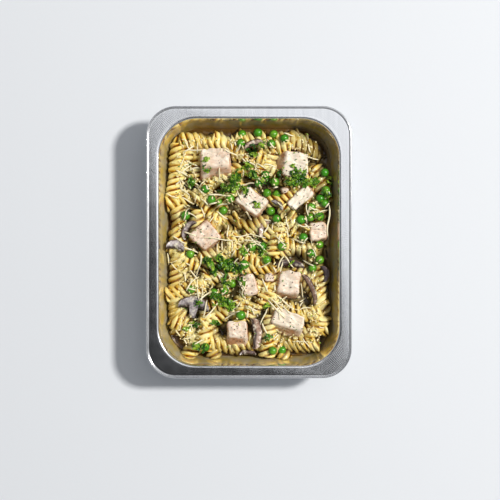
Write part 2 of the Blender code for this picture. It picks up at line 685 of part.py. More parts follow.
def build_mushrooms(field, toppings, material):
    """Lays the mushroom slices on the pasta, above any topping that they lie over."""
    nodes = []
    for number, entry in enumerate(MUSHROOMS, start=1):
        x, y, heading, width, depth, bend, roll, stem = entry
        points, faces = mushroom_slice(width, depth, bend, stem)
        turned = place(points, x, y, 0, heading, 0, roll)
        node = add_object(f"mushroom_{number:02d}", turned, faces, material)
        placed, triangles = mesh_of(node)
        underside = raster(placed, triangles, False)
        highest = SLICE_TOP - max(p[2] for p in placed)
        z = min(float(np.max(field - underside)) - SLICE_SINK, highest)
        z = max(z, float(np.max(toppings - underside)) + GAP)
        node.data.transform(Matrix.Translation((0, 0, z * MM)))
        np.maximum(toppings, raster(placed, triangles, True) + z, out=toppings)
        nodes.append(node)
    return nodes


def build_peas(field, toppings, material):
    """Drops the loose peas on the pasta and the toppings, and returns where they lie."""
    nodes, balls = [], []
    for number, (x, y, radius) in enumerate(PEAS, start=1):
        z = min(settle_ball(field, x, y, radius) - PEA_SINK, PEA_TOP - radius)
        z = max(z, settle_ball(toppings, x, y, radius) + GAP)
        node = ball(x, y, z, radius, f"pea_{number:02d}", material)
        np.maximum(toppings, raster(*mesh_of(node), True), out=toppings)
        nodes.append(node)
        balls.append((x, y, z, radius))
    return nodes, balls


def tray_space():
    """Makes the space inside the tray that the heap has to stay in."""
    bottom = FOIL + GAP
    rings = [hollow_ring(z, GAP) for z in (bottom, *SPACE_LEVELS, SPACE_TOP)]
    points, faces = bridge(rings)
    count = len(rings[0])
    cap(points, faces, 0, count, (0, 0, bottom))
    cap(points, faces, count * (len(rings) - 1), count, (0, 0, SPACE_TOP))
    return add_object("space", points, faces)


def main():
    """Builds the tray, the heap of pasta and the toppings."""
    for obj in list(bpy.data.objects):
        bpy.data.objects.remove(obj)
    build_tray()
    field = core_level(GRID_X, GRID_Y)
    heap = build_pasta(field, make_material("pasta_in_cream", (0.90, 0.79, 0.50), 0.35))
    chicken = build_chicken(make_material("roast_chicken", (0.92, 0.82, 0.74), 0.5))
    toppings = np.full(GRID_X.shape, -np.inf)
    for node in chicken:
        np.maximum(toppings, raster(*mesh_of(node), True), out=toppings)
    mushrooms = build_mushrooms(field, toppings, make_material("mushroom", (0.48, 0.38, 0.34), 0.45))
    peas, balls = build_peas(field, toppings, make_material("pea", (0.30, 0.56, 0.10), 0.3))
    cut_pockets(heap, chicken + mushrooms, balls)
    keep_largest(heap)
    thin_out(heap, HEAP_TRIANGLES)
    combine(heap, [tray_space()], "INTERSECT")
    keep_largest(heap)
    for node in mushrooms + chicken + peas:
        node.data.set_sharp_from_angle(angle=math.radians(40))


main()
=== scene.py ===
import itertools
import json
import math
import random

import bpy
import numpy as np
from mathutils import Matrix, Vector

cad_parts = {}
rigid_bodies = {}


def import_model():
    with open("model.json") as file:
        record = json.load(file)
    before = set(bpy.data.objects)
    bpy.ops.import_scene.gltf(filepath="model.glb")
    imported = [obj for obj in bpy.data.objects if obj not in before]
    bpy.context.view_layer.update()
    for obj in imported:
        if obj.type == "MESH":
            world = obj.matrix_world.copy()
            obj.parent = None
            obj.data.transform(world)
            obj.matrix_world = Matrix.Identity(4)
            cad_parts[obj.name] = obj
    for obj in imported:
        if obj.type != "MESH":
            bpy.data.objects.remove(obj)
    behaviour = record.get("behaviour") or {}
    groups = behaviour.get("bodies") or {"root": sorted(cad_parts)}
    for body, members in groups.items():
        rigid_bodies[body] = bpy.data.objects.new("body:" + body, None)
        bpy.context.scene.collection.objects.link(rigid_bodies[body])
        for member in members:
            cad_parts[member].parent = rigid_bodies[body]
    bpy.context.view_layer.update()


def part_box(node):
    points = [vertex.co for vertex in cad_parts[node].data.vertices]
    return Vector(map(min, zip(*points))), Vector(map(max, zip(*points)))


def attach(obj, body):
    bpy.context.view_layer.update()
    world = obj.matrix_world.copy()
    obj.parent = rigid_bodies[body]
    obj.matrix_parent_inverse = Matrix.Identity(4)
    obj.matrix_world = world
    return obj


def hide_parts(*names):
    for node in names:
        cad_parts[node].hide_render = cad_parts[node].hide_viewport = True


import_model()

bl_info = {
    "name": "Foil tray meal",
    "version": (1, 0, 0),
    "blender": (4, 5, 0),
    "location": "View3D > Sidebar > Meal",
    "description": "Dresses the solid model of a foil tray of pasta, chicken, peas and mushrooms",
    "category": "Add Mesh",
}

MM = 0.001

# The tray, in millimetres as its solid has it
TRAY_WIDTH = 173.0
TRAY_LENGTH = 229.0
TRAY_DEPTH = 40.0
FOIL = 0.5
BEAD_RADIUS = 1.2
FLANGE_DROP = 0.8
FLANGE_WIDTH = 9.2
EDGE_RADIUS = 1.6
WALL_LEAN = math.radians(16.0)
BASE_RADIUS = 7.0
OUTER_CORNER = 25.0
OPENING_CORNER = 33.5
CORNER_SHRINK = 0.8
FLANGE_TOP = TRAY_DEPTH - FLANGE_DROP
EDGE_CENTRE = (FLANGE_WIDTH, FLANGE_TOP - EDGE_RADIUS)
WALL_TOP = (EDGE_CENTRE[0] + EDGE_RADIUS * math.cos(WALL_LEAN),
            EDGE_CENTRE[1] + EDGE_RADIUS * math.sin(WALL_LEAN))
WALL_FOOT_Z = FOIL + BASE_RADIUS * (1 - math.sin(WALL_LEAN))
WALL_FOOT = (WALL_TOP[0] + (WALL_TOP[1] - WALL_FOOT_Z) * math.tan(WALL_LEAN), WALL_FOOT_Z)
BASE_CENTRE = (WALL_FOOT[0] + BASE_RADIUS * math.cos(WALL_LEAN), FOIL + BASE_RADIUS)

# The food, in millimetres as its solids have it
CORE_LEVEL = 19.5
CORE_RISE = 2.4
CORE_BUMP = 0.8
LOBE_RADIUS = 7.3
ROD_RADIUS = 6.5
TWIST_PITCH = 16.5
PASTA_TOP = 31.0
PASTA_SINK = 4.6
MOST_TILT = 0.22
PEA_SINK = 1.3
PEA_TOP = 34.3
SLICE_THICKNESS = 3.4
CHUNK_SQUEEZE = 0.08
CHUNK_PULL = 2.4
CELL = 0.5
HEIGHT_CELL = 0.7
WALL_GAP = 0.4
HOLLOW_DEPTH = 8.0
GOLDEN = 0.618

# How the tray is sampled: ribs along an end, a side and a corner, and the points of each rib
END_RIBS, SIDE_RIBS, CORNER_RIBS = 71, 109, 30
RIB_POINTS = 3

# The ribbed band of the flange, the levels of rows on the wall and the insets of rows on the base
BAND_START, BAND_END, BAND_RAMP = 2.4, 8.4, 0.6
WALL_ROWS = (33.0, 26.0, 18.0, 11.0)
BASE_ROWS = (76.0, 50.0, 30.0)

# The rolled edge is drawn a little slimmer and lower than its solid, so that it stays inside it
SLIM_BEAD = 0.95
BEAD_DROP = 0.06

# Sizes of the wall's fine creases, where it bends, and of its wide ones
FINE_CREASE, WIDE_CREASE = 2.6, 17.0

# A fusillo's blades: how far they lean over, how broad they are, cream in a valley, unevenness
BLADE_SKEW, BLADE_POWER, CREAM_FILL, BLADE_NOISE = 0.6, 2.8, 1.5, 0.42

# The sauce: its gap to the wall, its level there, how far it is below its solid, rows and relief
SAUCE_GAP, SAUCE_RIM, SAUCE_DROP = 0.45, 17.0, 3.6
SAUCE_ROWS = (2.4, 5.2, 10.0, 14.0, SAUCE_RIM)
SAUCE_COUNTS = (64, 92, 14)
WAVE_HEIGHT, WAVE_SIZE = 1.5, 9.0
RIPPLE_HEIGHT, RIPPLE_SIZE = 0.7, 2.6

# Half the width and length of the layer of buried fusilli, and how far each one is moved in it
BURIED_HALF, BURIED_SHIFT = (50, 82), 7

# Half the width and length of what cheese is strewn over, and of what parsley and pepper are
CHEESE_HALF, STREWN_HALF = (60, 88), (62, 92)

# Fusilli along the wall: how far out they are to the left, the right and at both ends
ROW_LEFT, ROW_RIGHT, ROW_END = -61.5, 60.5, 87.0

# Shortest and longest cheese strand and crumb, their width and thickness
STRAND_LENGTH, CRUMB_LENGTH = (4, 12), (1.0, 2.8)
STRAND_WIDTH, STRAND_THICKNESS = (0.95, 1.5), 0.8

# Smallest and largest leaf in a cluster of parsley, stray leaf and radius of a pepper grain
LEAF_SIZE, STRAY_SIZE, PEPPER_RADIUS = (2.4, 6.2), (0.9, 2.2), (0.22, 0.5)

# A cut block of meat: the width of its bevel, its corner radius, and height and size of its relief
BLOCK_BEVEL, BLOCK_CORNER = 1.5, 2.6
LUMP_HEIGHT, LUMP_SIZE = 0.85, 6.5
FIBRE_HEIGHT, FIBRE_SIZE = 0.34, 1.5

# A pea's dimple and wrinkles as shares of its radius, and half a mushroom's stem as one of its width
PEA_DIMPLE, PEA_WRINKLE, STEM_HALF = 0.06, 0.018, 0.27

# Rows and columns of points on each kind of piece
FUSILLI_GRID, BELOW_GRID = (60, 36), (42, 24)
SLICE_GRID, PEA_GRID, PEPPER_GRID = (46, 36), (16, 24), (4, 6)
STRAND_GRID, LEAF_GRID = (8, 6), (7, 8)

# The camera: where it looks, a pixel's width on the food, its height, and how much it takes in
AIM_X, AIM_Y = 0.84, -6.64
FOOD_PIXEL = 0.848
CAMERA_HEIGHT = 1100.0
RIM_VIEW = 420.0

# Lamps, in metres and linear colours: they aim at the food, and the panel stands off to a corner
AIM_LEVEL = 0.02
KEY_DIRECTION, KEY_DISTANCE, KEY_SIZE, KEY_COLOUR = (0.60, 0.22, 0.77), 3.6, 0.43, (1.0, 0.97, 0.93)
PANEL_HEIGHT, PANEL_SIZE, PANEL_SHIFT, PANEL_COLOUR = 2.4, 1.7, 0.625, (0.97, 0.98, 1.0)
SKY_COLOUR = (0.95, 0.97, 1.0, 1.0)
FLOOR_HALF = 3.0

# How far up the even light begins and stops to fade, as the upward part of its direction
FADE_START, FADE_END = 0.65, 0.99

# Fusilli, lowest first: x, y, heading in degrees, length, sideways bend
FUSILLI = (
    (-62, 54, 80, 34, 0), (62, 50, -75, 34, 0), (-60, 8, 95, 32, 0), (59, -72, 60, 26, 0),
    (-39, 85, -6, 40, 1.0), (-16, 81, -28, 38, 0), (-57, 69, 62, 26, 0), (-54, 36, 12, 36, 1.5),
    (-1, 72, -38, 38, 0), (14, 66, 55, 34, 0), (22, 82, -12, 28, 0), (49, 81, -24, 38, 1.0),
    (-31, 24, -62, 40, 0), (-18, 11, -35, 40, 0), (-9, -9, -28, 38, 0), (-28, -13, 32, 36, 0),
    (4, -21, 3, 36, 0), (-4, 7, 18, 34, 0), (37, 17, -62, 34, 0), (44, -8, -25, 36, 0),
    (-56, -23, 101, 40, 0.8), (-54, -41, 14, 34, 0), (-62, -59, 90, 40, 0), (-52, -78, -46, 38, 0),
    (-37, -76, 84, 34, 0), (-24, -87, -14, 36, 0), (-24, -63, 22, 38, 0), (-32, -31, 18, 36, 0),
    (9, -51, 42, 36, 0), (23, -51, -52, 38, 0), (60, -41, -72, 44, -3.0), (48, -61, 4, 34, 0),
    (41, -86, -2, 40, 0.8), (17, -80, 84, 36, 0), (-34, 44, 28, 30, 0), (36, 52, -20, 30, 0),
    (24, 2, 70, 30, 0), (-12, 48, 75, 30, 0), (54, 22, 60, 26, 0),
)

# Peas held in the pasta: x, y, radius
PEAS_IN_PASTA = (
    (64, 59, 3.8), (65, 44, 3.9), (64, 33, 3.6), (60, -2, 3.7), (-45, -88, 3.7), (-37, -89, 3.8),
    (20, -92, 3.7), (28, -92, 3.9), (-33, -19, 3.6), (-22, -19, 3.8), (8, 50, 3.7), (-25, 34, 3.5),
    (-7, 84, 3.9), (30, 88, 3.7),
)

# Roast chicken: x, y, heading, width, depth, height, top level, lean of the top in x and y
CHICKEN = (
    (-28.4, 65.6, 2, 29, 20, 14, 33.0, 0.5, 13.0), (36.2, 66.8, -5, 24.5, 24, 13, 32.5, 9.0, 0.5),
    (44, 38, 42, 27, 13.5, 10, 32.0, 0, 0), (2.6, 34.8, -38, 27, 20, 13, 33.5, -1.0, 1.0),
    (-36.5, 5.2, 42, 24, 23.5, 13, 33.5, 0.5, 1.0), (58.5, 9.3, 4, 17, 19, 11, 31.5, 0, 0.8),
    (-0.5, -36.3, 12, 14.5, 20, 10, 32.0, 0, 0.8), (33.0, -36.2, -3, 21, 23, 13, 33.0, 1.5, 4.0),
    (17.0, -30.5, 5, 10, 9, 9, 31.0, 0, 0), (32.2, -68.5, -20, 31.5, 17.5, 12, 33.0, 0.5, 7.0),
    (-10.2, -79, -2, 19.5, 17.5, 14, 33.5, 0, 11.0), (30.5, 44, 0, 8, 7, 9, 31.0, 0, 0),
)

# Chicken blocks: how pale each one is
CHICKEN_TONES = (0.3, 0.9, 1.0, 0.7, 0.0, 0.2, 0.2, 0.4, 0.2, 0.8, 0.3, 0.2)

# Mushroom slices: x, y, heading, width, depth, bend, roll about the width, stem or not
MUSHROOMS = (
    (5, 82, 12, 18, 11, 1.5, 20, False), (-51, 10.5, 55, 18, 12, 2.0, 20, False),
    (-62.5, -5.5, -12, 15.5, 16, 1.5, -10, False), (-47, -55, -10, 26, 19, 2.5, 8, True),
    (35, -20.5, -4, 24, 13, 1.0, 20, False), (52, -39.5, -67, 27, 9.5, 1.5, 28, False),
    (3.5, -77.5, -86, 26, 16, 2.0, -14, False), (13.5, 11, 62, 15, 12, 1.5, 18, False),
    (63.5, -27, -80, 14, 11, 1.0, 15, False), (24, 31.5, -38, 12, 7.5, 1.0, 20, False),
    (-1, -96, 0, 14, 8, 1.0, -10, False),
)

# Mushroom slices: how dark and how brown each one is; the darkest, slices 5, 9 and 11, lie in shaded gaps,
# so their darkness is partly painted shade
MUSHROOM_TONES = (
    (0.15, 0.8), (0.6, 0.3), (0.15, 0.2), (0.3, 0.1), (0.95, 0.1), (0.6, 0.9), (0.45, 1.0),
    (0.35, 0.9), (0.95, 0.1), (0.45, 0.1), (0.85, 0.4),
)

# Loose peas, each with a solid of its own
PEA_COUNT = 35

# Cheese strands, as the pixels of the photograph where each begins and ends
STRANDS = (
    (283, 133, 294, 136), (308, 157, 319, 159), (197, 193, 194, 204), (188, 212, 197, 219),
    (208, 195, 226, 196), (216, 208, 229, 204), (216, 211, 228, 219), (203, 200, 209, 207),
    (201, 207, 204, 218), (200, 238, 235, 240), (255, 163, 265, 168), (272, 188, 278, 187),
    (277, 202, 283, 207), (264, 219, 271, 221), (268, 224, 264, 233), (250, 234, 266, 238),
    (250, 236, 263, 247), (309, 207, 319, 210), (298, 224, 312, 227), (305, 217, 307, 224),
    (329, 205, 329, 240), (325, 208, 329, 203), (184, 247, 198, 253), (167, 253, 168, 265),
    (169, 263, 177, 260), (171, 263, 177, 270), (201, 254, 200, 265), (200, 265, 196, 277),
    (190, 270, 197, 279), (197, 279, 199, 300), (204, 280, 211, 278), (222, 241, 222, 250),
    (217, 243, 218, 252), (249, 248, 242, 260), (278, 270, 284, 256), (285, 256, 294, 268),
    (273, 267, 276, 273), (303, 260, 314, 266), (301, 283, 304, 300), (216, 273, 221, 282),
    (220, 272, 229, 290), (226, 292, 216, 301), (204, 318, 222, 298), (203, 318, 207, 300),
    (238, 280, 243, 290), (198, 345, 191, 349), (244, 306, 258, 311), (248, 310, 247, 318),
    (267, 303, 260, 325), (262, 323, 267, 334), (268, 300, 285, 318), (270, 298, 283, 312),
    (274, 302, 290, 314), (277, 296, 293, 309), (224, 306, 238, 300), (230, 312, 240, 302),
    (243, 240, 262, 243), (233, 236, 250, 234), (240, 288, 246, 300), (246, 282, 243, 298),
    (236, 276, 246, 292), (262, 278, 268, 292), (283, 262, 280, 272), (180, 180, 190, 187),
    (176, 170, 188, 176), (186, 160, 198, 166), (252, 172, 262, 182), (225, 150, 238, 156),
    (166, 193, 178, 198), (292, 238, 306, 243), (276, 236, 286, 246), (184, 232, 196, 236),
    (172, 236, 186, 244), (206, 262, 216, 272), (232, 262, 246, 266), (258, 268, 270, 262),
)

# Hollows between the pieces, as pixels of the photograph and a radius in millimetres
HOLLOWS = (
    (246, 216, 8), (221, 244, 5), (192, 251, 4), (297, 260, 7), (331, 256, 10), (330, 150, 9),
    (333, 170, 8), (281, 178, 5), (279, 190, 4), (218, 190, 6), (328, 312, 7), (245, 357, 5),
    (168, 222, 7), (212, 207, 4), (197, 275, 4), (335, 215, 8), (262, 210, 3),
    (303, 298, 5), (254, 300, 4), (233, 262, 4), (205, 300, 4), (319, 340, 4), (206, 131, 5),
    (331, 228, 7), (332, 240, 7), (286, 214, 4), (270, 262, 4), (228, 212, 4), (186, 214, 3),
    (231, 222, 6), (240, 231, 4), (222, 229, 4), (300, 232, 4), (232, 205, 4), (326, 162, 7),
    (296, 205, 4), (249, 151, 4), (246, 178, 4), (308, 222, 4),
)

# Chopped parsley, as pixels of the photograph: x, y, spread, bits, and how full a cluster is
CLUSTER_BITS, CLUSTER_FILL = 14, 1.25
PARSLEY = (
    (236, 178, 5, 34), (233, 187, 5, 30), (246, 191, 4, 14), (297, 178, 8, 60), (306, 182, 6, 26),
    (288, 183, 4, 14), (316, 182, 4, 14), (253, 174, 5, 14), (252, 151, 6, 16), (262, 146, 4, 8),
    (191, 181, 4, 14), (205, 160, 3, 5), (205, 167, 3, 5), (210, 171, 3, 5), (235, 186, 4, 12),
    (186, 329, 3, 6), (197, 347, 3, 7), (206, 346, 4, 8), (222, 300, 6, 40), (230, 305, 5, 22),
    (214, 296, 4, 16), (267, 307, 3, 7), (214, 323, 4, 9), (198, 303, 3, 8), (207, 261, 4, 18),
    (228, 265, 6, 34), (238, 268, 5, 22), (220, 258, 4, 14), (243, 250, 4, 12), (262, 252, 5, 14),
    (244, 168, 6, 14), (264, 181, 4, 8), (195, 325, 4, 8), (268, 337, 4, 8), (318, 216, 4, 10),
    (280, 172, 4, 8), (256, 205, 3, 6), (293, 166, 2, 3), (224, 190, 5, 14), (214, 270, 5, 14),
    (241, 280, 5, 10), (225, 282, 5, 14), (292, 262, 3, 5), (326, 194, 4, 12), (330, 180, 4, 8),
)


# Surfaces as whole arrays, in millimetres

def lattice(cell, seed):
    """Value from -1 to 1 of each whole lattice point: its coordinates hashed together with a seed."""
    mixed = cell[..., 0] * 73856093 ^ cell[..., 1] * 19349663 ^ cell[..., 2] * 83492791 ^ seed * 40503
    mixed = (mixed ^ (mixed >> 13)) * 1274126177 & 0xFFFFFFFF
    return ((mixed ^ (mixed >> 16)) & 0xFFFF) / 32767.5 - 1


def noise(points, size, seed, octaves=1):
    """Smooth value noise: the lattice values at a cell's eight corners mixed by smoothstep shares.

    Each further octave halves the cell's size and the height of what it adds.
    """
    total = 0.0
    for octave in range(octaves):
        scaled = points / size * 2 ** octave
        cell = np.floor(scaled).astype(np.int64)
        part = scaled - cell
        part = part * part * (3 - 2 * part)
        for corner in itertools.product((0, 1), repeat=3):
            weight = np.prod(np.where(corner, part, 1 - part), axis=-1)
            total = total + weight * lattice(cell + corner, seed + octave) / 2 ** octave
    return total


def tube_faces(shapes, rows, columns):
    """Quads round each rows by columns grid, closed round its columns, and a fan at both poles."""
    count = rows * columns + 2
    start = np.arange(shapes)[:, None] * count
    r = np.arange(rows - 1)[:, None] * columns
    c = np.arange(columns)[None, :]
    after = (c + 1) % columns
    quads = np.stack([r + c, r + after, r + columns + after, r + columns + c], -1).reshape(-1, 4)
    last = (rows - 1) * columns
    low = np.stack([c[0], np.full(columns, count - 2), after[0]], -1)
    high = np.stack([last + c[0], last + after[0], np.full(columns, count - 1)], -1)
    fans = np.concatenate([low, high])
    every_quad = (start[..., None] + quads[None]).reshape(-1, 4)
    every_fan = (start[..., None] + fans[None]).reshape(-1, 3)
    return every_quad.tolist() + every_fan.tolist()


def with_poles(grid):
    """Adds the two pole points of each shape: the middles of its first and its last ring."""
    shapes, rows, columns = grid.shape[:3]
    poles = np.stack([grid[:, 0].mean(axis=1), grid[:, -1].mean(axis=1)], axis=1)
    return np.concatenate([grid.reshape(shapes, rows * columns, -1), poles], axis=1)


def with_height(flat, height):
    """Adds a height to flat points: one for all, or one for each row or point."""
    return np.concatenate([flat, np.broadcast_to(height, (*flat.shape[:-1], 1))], -1)


def full_turn(count):
    """Angles of equal steps round a full turn."""
    return 2 * math.pi * np.arange(count) / count


def ball_rings(rows, columns):
    """A ball of radius one as rings about X: the cosine of the way from pole to pole, and round it
    the sine. The two poles are left out.
    """
    polar = np.linspace(0, math.pi, rows + 2)[1:-1, None]
    angle = full_turn(columns)
    parts = np.broadcast_arrays(-np.cos(polar), np.sin(polar) * np.cos(angle), np.sin(polar) * np.sin(angle))
    return np.stack(parts, -1)


def each_shape(values):
    """Gives values, one for each shape, the form that spreads them over rows and columns."""
    return np.asarray(values, float)[:, None, None]


def outline(half_x, half_y, radius, across, along, corner):
    """Rounded rectangles, anticlockwise from the right side's foot, one row for each half width.

    A point is the nearest corner's centre plus the corner's radius in its direction, and the
    centre slides from one corner to the next along a straight side.
    """
    share_x, share_y, angle = [], [], []
    signs = ((1, -1), (1, 1), (-1, 1), (-1, -1))
    for side in range(4):
        count = across if side % 2 else along
        step = np.arange(count) / count
        begin, end = signs[side], signs[(side + 1) % 4]
        share_x.append(begin[0] + (end[0] - begin[0]) * step)
        share_y.append(begin[1] + (end[1] - begin[1]) * step)
        angle.append(np.full(count, math.pi / 2 * side))
        share_x.append(np.full(corner, end[0]))
        share_y.append(np.full(corner, end[1]))
        angle.append(math.pi / 2 * (side + np.arange(corner) / corner))
    share_x, share_y, angle = map(np.concatenate, (share_x, share_y, angle))
    half_x, half_y, radius = (np.asarray(v, float)[:, None] for v in (half_x, half_y, radius))
    x = share_x * (half_x - radius) + radius * np.cos(angle)
    y = share_y * (half_y - radius) + radius * np.sin(angle)
    return np.stack([x, y], -1), np.stack([np.cos(angle), np.sin(angle)], -1)


def place(points, x, y, z, heading, slope=0.0, roll=0.0):
    """Rolls points about X, tilts X up by a slope, turns them about Z and moves them.

    Angles are in degrees and every value may be an array with one entry for each shape.
    """
    shape = (-1, *(1,) * (points.ndim - 2)) if points.ndim > 2 else ()
    x, y, z, heading, slope, roll = (np.reshape(v, shape) if np.ndim(v) else v
                                     for v in (x, y, z, heading, slope, roll))
    a, b, c = np.radians(roll), np.arctan(slope), np.radians(heading)
    px, py, pz = points[..., 0], points[..., 1], points[..., 2]
    py, pz = py * np.cos(a) - pz * np.sin(a), py * np.sin(a) + pz * np.cos(a)
    px, pz = px * np.cos(b) - pz * np.sin(b), px * np.sin(b) + pz * np.cos(b)
    px, py = px * np.cos(c) - py * np.sin(c), px * np.sin(c) + py * np.cos(c)
    return np.stack([px + x, py + y, pz + z], -1)


def make_piece(name, grid, material, nodes, marks):
    """Closes shapes, given in millimetres as rows and columns of points, into one smooth mesh that
    rides on the frame.

    The marks are values from 0 to 1 at each point, kept as attributes for the material.
    """
    points = with_poles(grid).reshape(-1, 3) * MM
    mesh = bpy.data.meshes.new(name)
    mesh.from_pydata(points.tolist(), [], tube_faces(*grid.shape[:3]))
    mesh.shade_smooth()
    for key, values in marks.items():
        values = with_poles(np.broadcast_to(values, grid.shape[:3])[..., None])
        layer = mesh.attributes.new(key, "FLOAT", "POINT")
        layer.data.foreach_set("value", values.astype(np.float32).ravel())
    mesh.materials.append(material)
    piece = bpy.data.objects.new(name, mesh)
    bpy.context.scene.collection.objects.link(piece)
    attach(piece, "root")
    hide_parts(*nodes)
    return piece


def centred(node):
    """Middle of a solid's box, and half its height, in millimetres."""
    low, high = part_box(node)
    return np.array((low + high) / 2) / MM, (high.z - low.z) / 2 / MM


def from_photo(x, y):
    """Place on the food, in millimetres, of a pixel of the 500 by 500 photograph."""
    return AIM_X + (x - 250) * FOOD_PIXEL, AIM_Y + (250 - y) * FOOD_PIXEL


# The tray's wall and the levels of the food

def corner_radius(inset):
    """Corner radius at a distance in from the outer edge: bead, then flange, then wall."""
    bead_end = 2 * BEAD_RADIUS
    start = OUTER_CORNER - bead_end
    flange = start + (inset - bead_end) / (FLANGE_WIDTH - bead_end) * (OPENING_CORNER - start)
    wall = OPENING_CORNER - CORNER_SHRINK * (inset - FLANGE_WIDTH)
    return np.where(inset <= bead_end, OUTER_CORNER - inset, np.where(inset >= FLANGE_WIDTH, wall, flange))


def wall_inset(z):
    """How far in from the outer edge the inside of the wall is: a leaning line on a round foot."""
    straight = WALL_TOP[0] + (WALL_TOP[1] - z) * math.tan(WALL_LEAN)
    drop = np.clip(BASE_CENTRE[1] - z, -BASE_RADIUS, BASE_RADIUS)
    return np.where(z > WALL_FOOT_Z, straight, BASE_CENTRE[0] - np.sqrt(BASE_RADIUS ** 2 - drop ** 2))


def keep_inside(points, gap):
    """Brings points that reach past the wall back to it: beyond the centre of the nearest corner
    the reach is cut to the corner's radius at that height, less the gap.
    """
    inset = wall_inset(points[..., 2]) + gap
    radius = corner_radius(inset)
    half = np.stack([TRAY_WIDTH / 2 - inset, TRAY_LENGTH / 2 - inset], -1)
    core = half - radius[..., None]
    flat = points[..., :2]
    reach = np.maximum(np.abs(flat) - core, 0)
    away = np.linalg.norm(reach, axis=-1)
    share = np.minimum(1, radius / np.maximum(away, 1e-9))[..., None]
    kept = points.copy()
    kept[..., :2] = np.sign(flat) * (np.minimum(np.abs(flat), core) + reach * share)
    return kept


GRID_X, GRID_Y = np.meshgrid(np.arange(-78, 78 + CELL, CELL), np.arange(-106, 106 + CELL, CELL))


def core_level(x, y):
    """Top of the sauce that carries the food: a low dome with two crossed waves on it."""
    dome = (1 - (x / 76) ** 2) * (1 - (y / 104) ** 2)
    bumps = np.sin(x / 9.0 + 0.6) * np.cos(y / 11.0) + 0.5 * np.sin((x + y) / 6.0)
    return CORE_LEVEL + CORE_RISE * dome + CORE_BUMP * bumps


def settle_rod(field, x, y, heading, length):
    """Lays a rod on the field, resting at the highest point under each half, and adds it."""
    angle = math.radians(heading)
    along = (GRID_X - x) * math.cos(angle) + (GRID_Y - y) * math.sin(angle)
    across = (GRID_Y - y) * math.cos(angle) - (GRID_X - x) * math.sin(angle)
    under = (np.abs(along) <= length / 2) & (np.abs(across) < ROD_RADIUS)
    depth = np.sqrt(np.maximum(ROD_RADIUS ** 2 - across ** 2, 0))
    need = np.where(under, field + depth, -np.inf)
    left = np.unravel_index(np.argmax(np.where(along < 0, need, -np.inf)), need.shape)
    right = np.unravel_index(np.argmax(np.where(along >= 0, need, -np.inf)), need.shape)
    run = max(along[right] - along[left], length / 3)
    slope = float(np.clip((need[right] - need[left]) / run, -MOST_TILT, MOST_TILT))
    middle = float(np.max(np.where(under, need - slope * along, -np.inf))) - PASTA_SINK
    middle = min(middle, PASTA_TOP - LOBE_RADIUS - abs(slope) * length / 2)
    np.maximum(field, np.where(under, middle + slope * along + depth, -np.inf), out=field)
    return middle, slope


def settle_ball(field, x, y, radius):
    """Height of the centre of a ball that rests on the field."""
    away = (GRID_X - x) ** 2 + (GRID_Y - y) ** 2
    need = np.where(away < radius ** 2, field + np.sqrt(np.maximum(radius ** 2 - away, 0)), -np.inf)
    return float(np.max(need))


def settle_pasta():
    """Settles the fusilli one after another, as their solids were, and returns where they lie."""
    field = core_level(GRID_X, GRID_Y)
    draw = random.Random(7)
    rows = []
    for x, y, heading, length, bend in FUSILLI:
        middle, slope = settle_rod(field, x, y, heading, length)
        rows.append((x, y, middle, heading, slope, length, bend, draw.uniform(0, 2 * math.pi)))
    return field, np.array(rows)


def food_names():
    """Names of the finished pieces of food that strewn bits can lie on."""
    starts = ("sauce", "fusilli", "chicken_meat", "mushroom_slice", "green_pea", "peas_in", "cheese")
    return [obj.name for obj in bpy.data.objects if obj.name.startswith(starts)]


def top_of(names, cell):
    """Height map of finished pieces: the highest of their points over each square of a grid,
    then the highest of a square and its eight neighbours, so that no hole is left.
    """
    columns = int(TRAY_WIDTH / cell) + 1
    rows = int(TRAY_LENGTH / cell) + 1
    field = np.full((rows, columns), CORE_LEVEL - 6.0)
    for name in names:
        mesh = bpy.data.objects[name].data
        points = np.empty(len(mesh.vertices) * 3, np.float32)
        mesh.vertices.foreach_get("co", points)
        points = points.reshape(-1, 3) / MM
        column = np.clip(((points[:, 0] + TRAY_WIDTH / 2) / cell).astype(int), 0, columns - 1)
        row = np.clip(((points[:, 1] + TRAY_LENGTH / 2) / cell).astype(int), 0, rows - 1)
        np.maximum.at(field, (row, column), points[:, 2])
    padded = np.pad(field, 1, mode="edge")
    near = [padded[a:a + rows, b:b + columns] for a in range(3) for b in range(3)]
    return np.max(near, axis=0)


def level_at(field, cell, x, y):
    """Height of a height map at places, mixed between the four nearest squares."""
    column = np.clip((x + TRAY_WIDTH / 2) / cell - 0.5, 0, field.shape[1] - 1.001)
    row = np.clip((y + TRAY_LENGTH / 2) / cell - 0.5, 0, field.shape[0] - 1.001)
    c, r = column.astype(int), row.astype(int)
    u, v = column - c, row - r
    low = field[r, c] * (1 - u) + field[r, c + 1] * u
    high = field[r + 1, c] * (1 - u) + field[r + 1, c + 1] * u
    return low * (1 - v) + high * v


# Materials

def linear(code):
    """Turns an sRGB hex value to a linear colour with full alpha."""
    parts = [int(code[k:k + 2], 16) / 255 for k in (1, 3, 5)]
    return (*[((c + 0.055) / 1.055) ** 2.4 if c > 0.04045 else c / 12.92 for c in parts], 1.0)


def per_size(size):
    """Scale of a texture whose features are to be a size in millimetres."""
    return 1 / (size * MM)


def add_node(tree, kind, settings=None, links=None):
    """Adds a node, sets its properties, inputs and colour stops, and links its inputs."""
    node = tree.nodes.new(kind)
    for key, value in (settings or {}).items():
        if key == "stops":
            elements = node.color_ramp.elements
            for position, code in value[1:-1]:
                elements.new(position).color = linear(code)
            for index, (position, code) in ((0, value[0]), (-1, value[-1])):
                elements[index].position = position
                elements[index].color = linear(code)
        elif isinstance(key, str) and hasattr(node, key):
            setattr(node, key, value)
        else:
            node.inputs[key].default_value = value
    for key, source in (links or {}).items():
        tree.links.new(source, node.inputs[key])
    return node


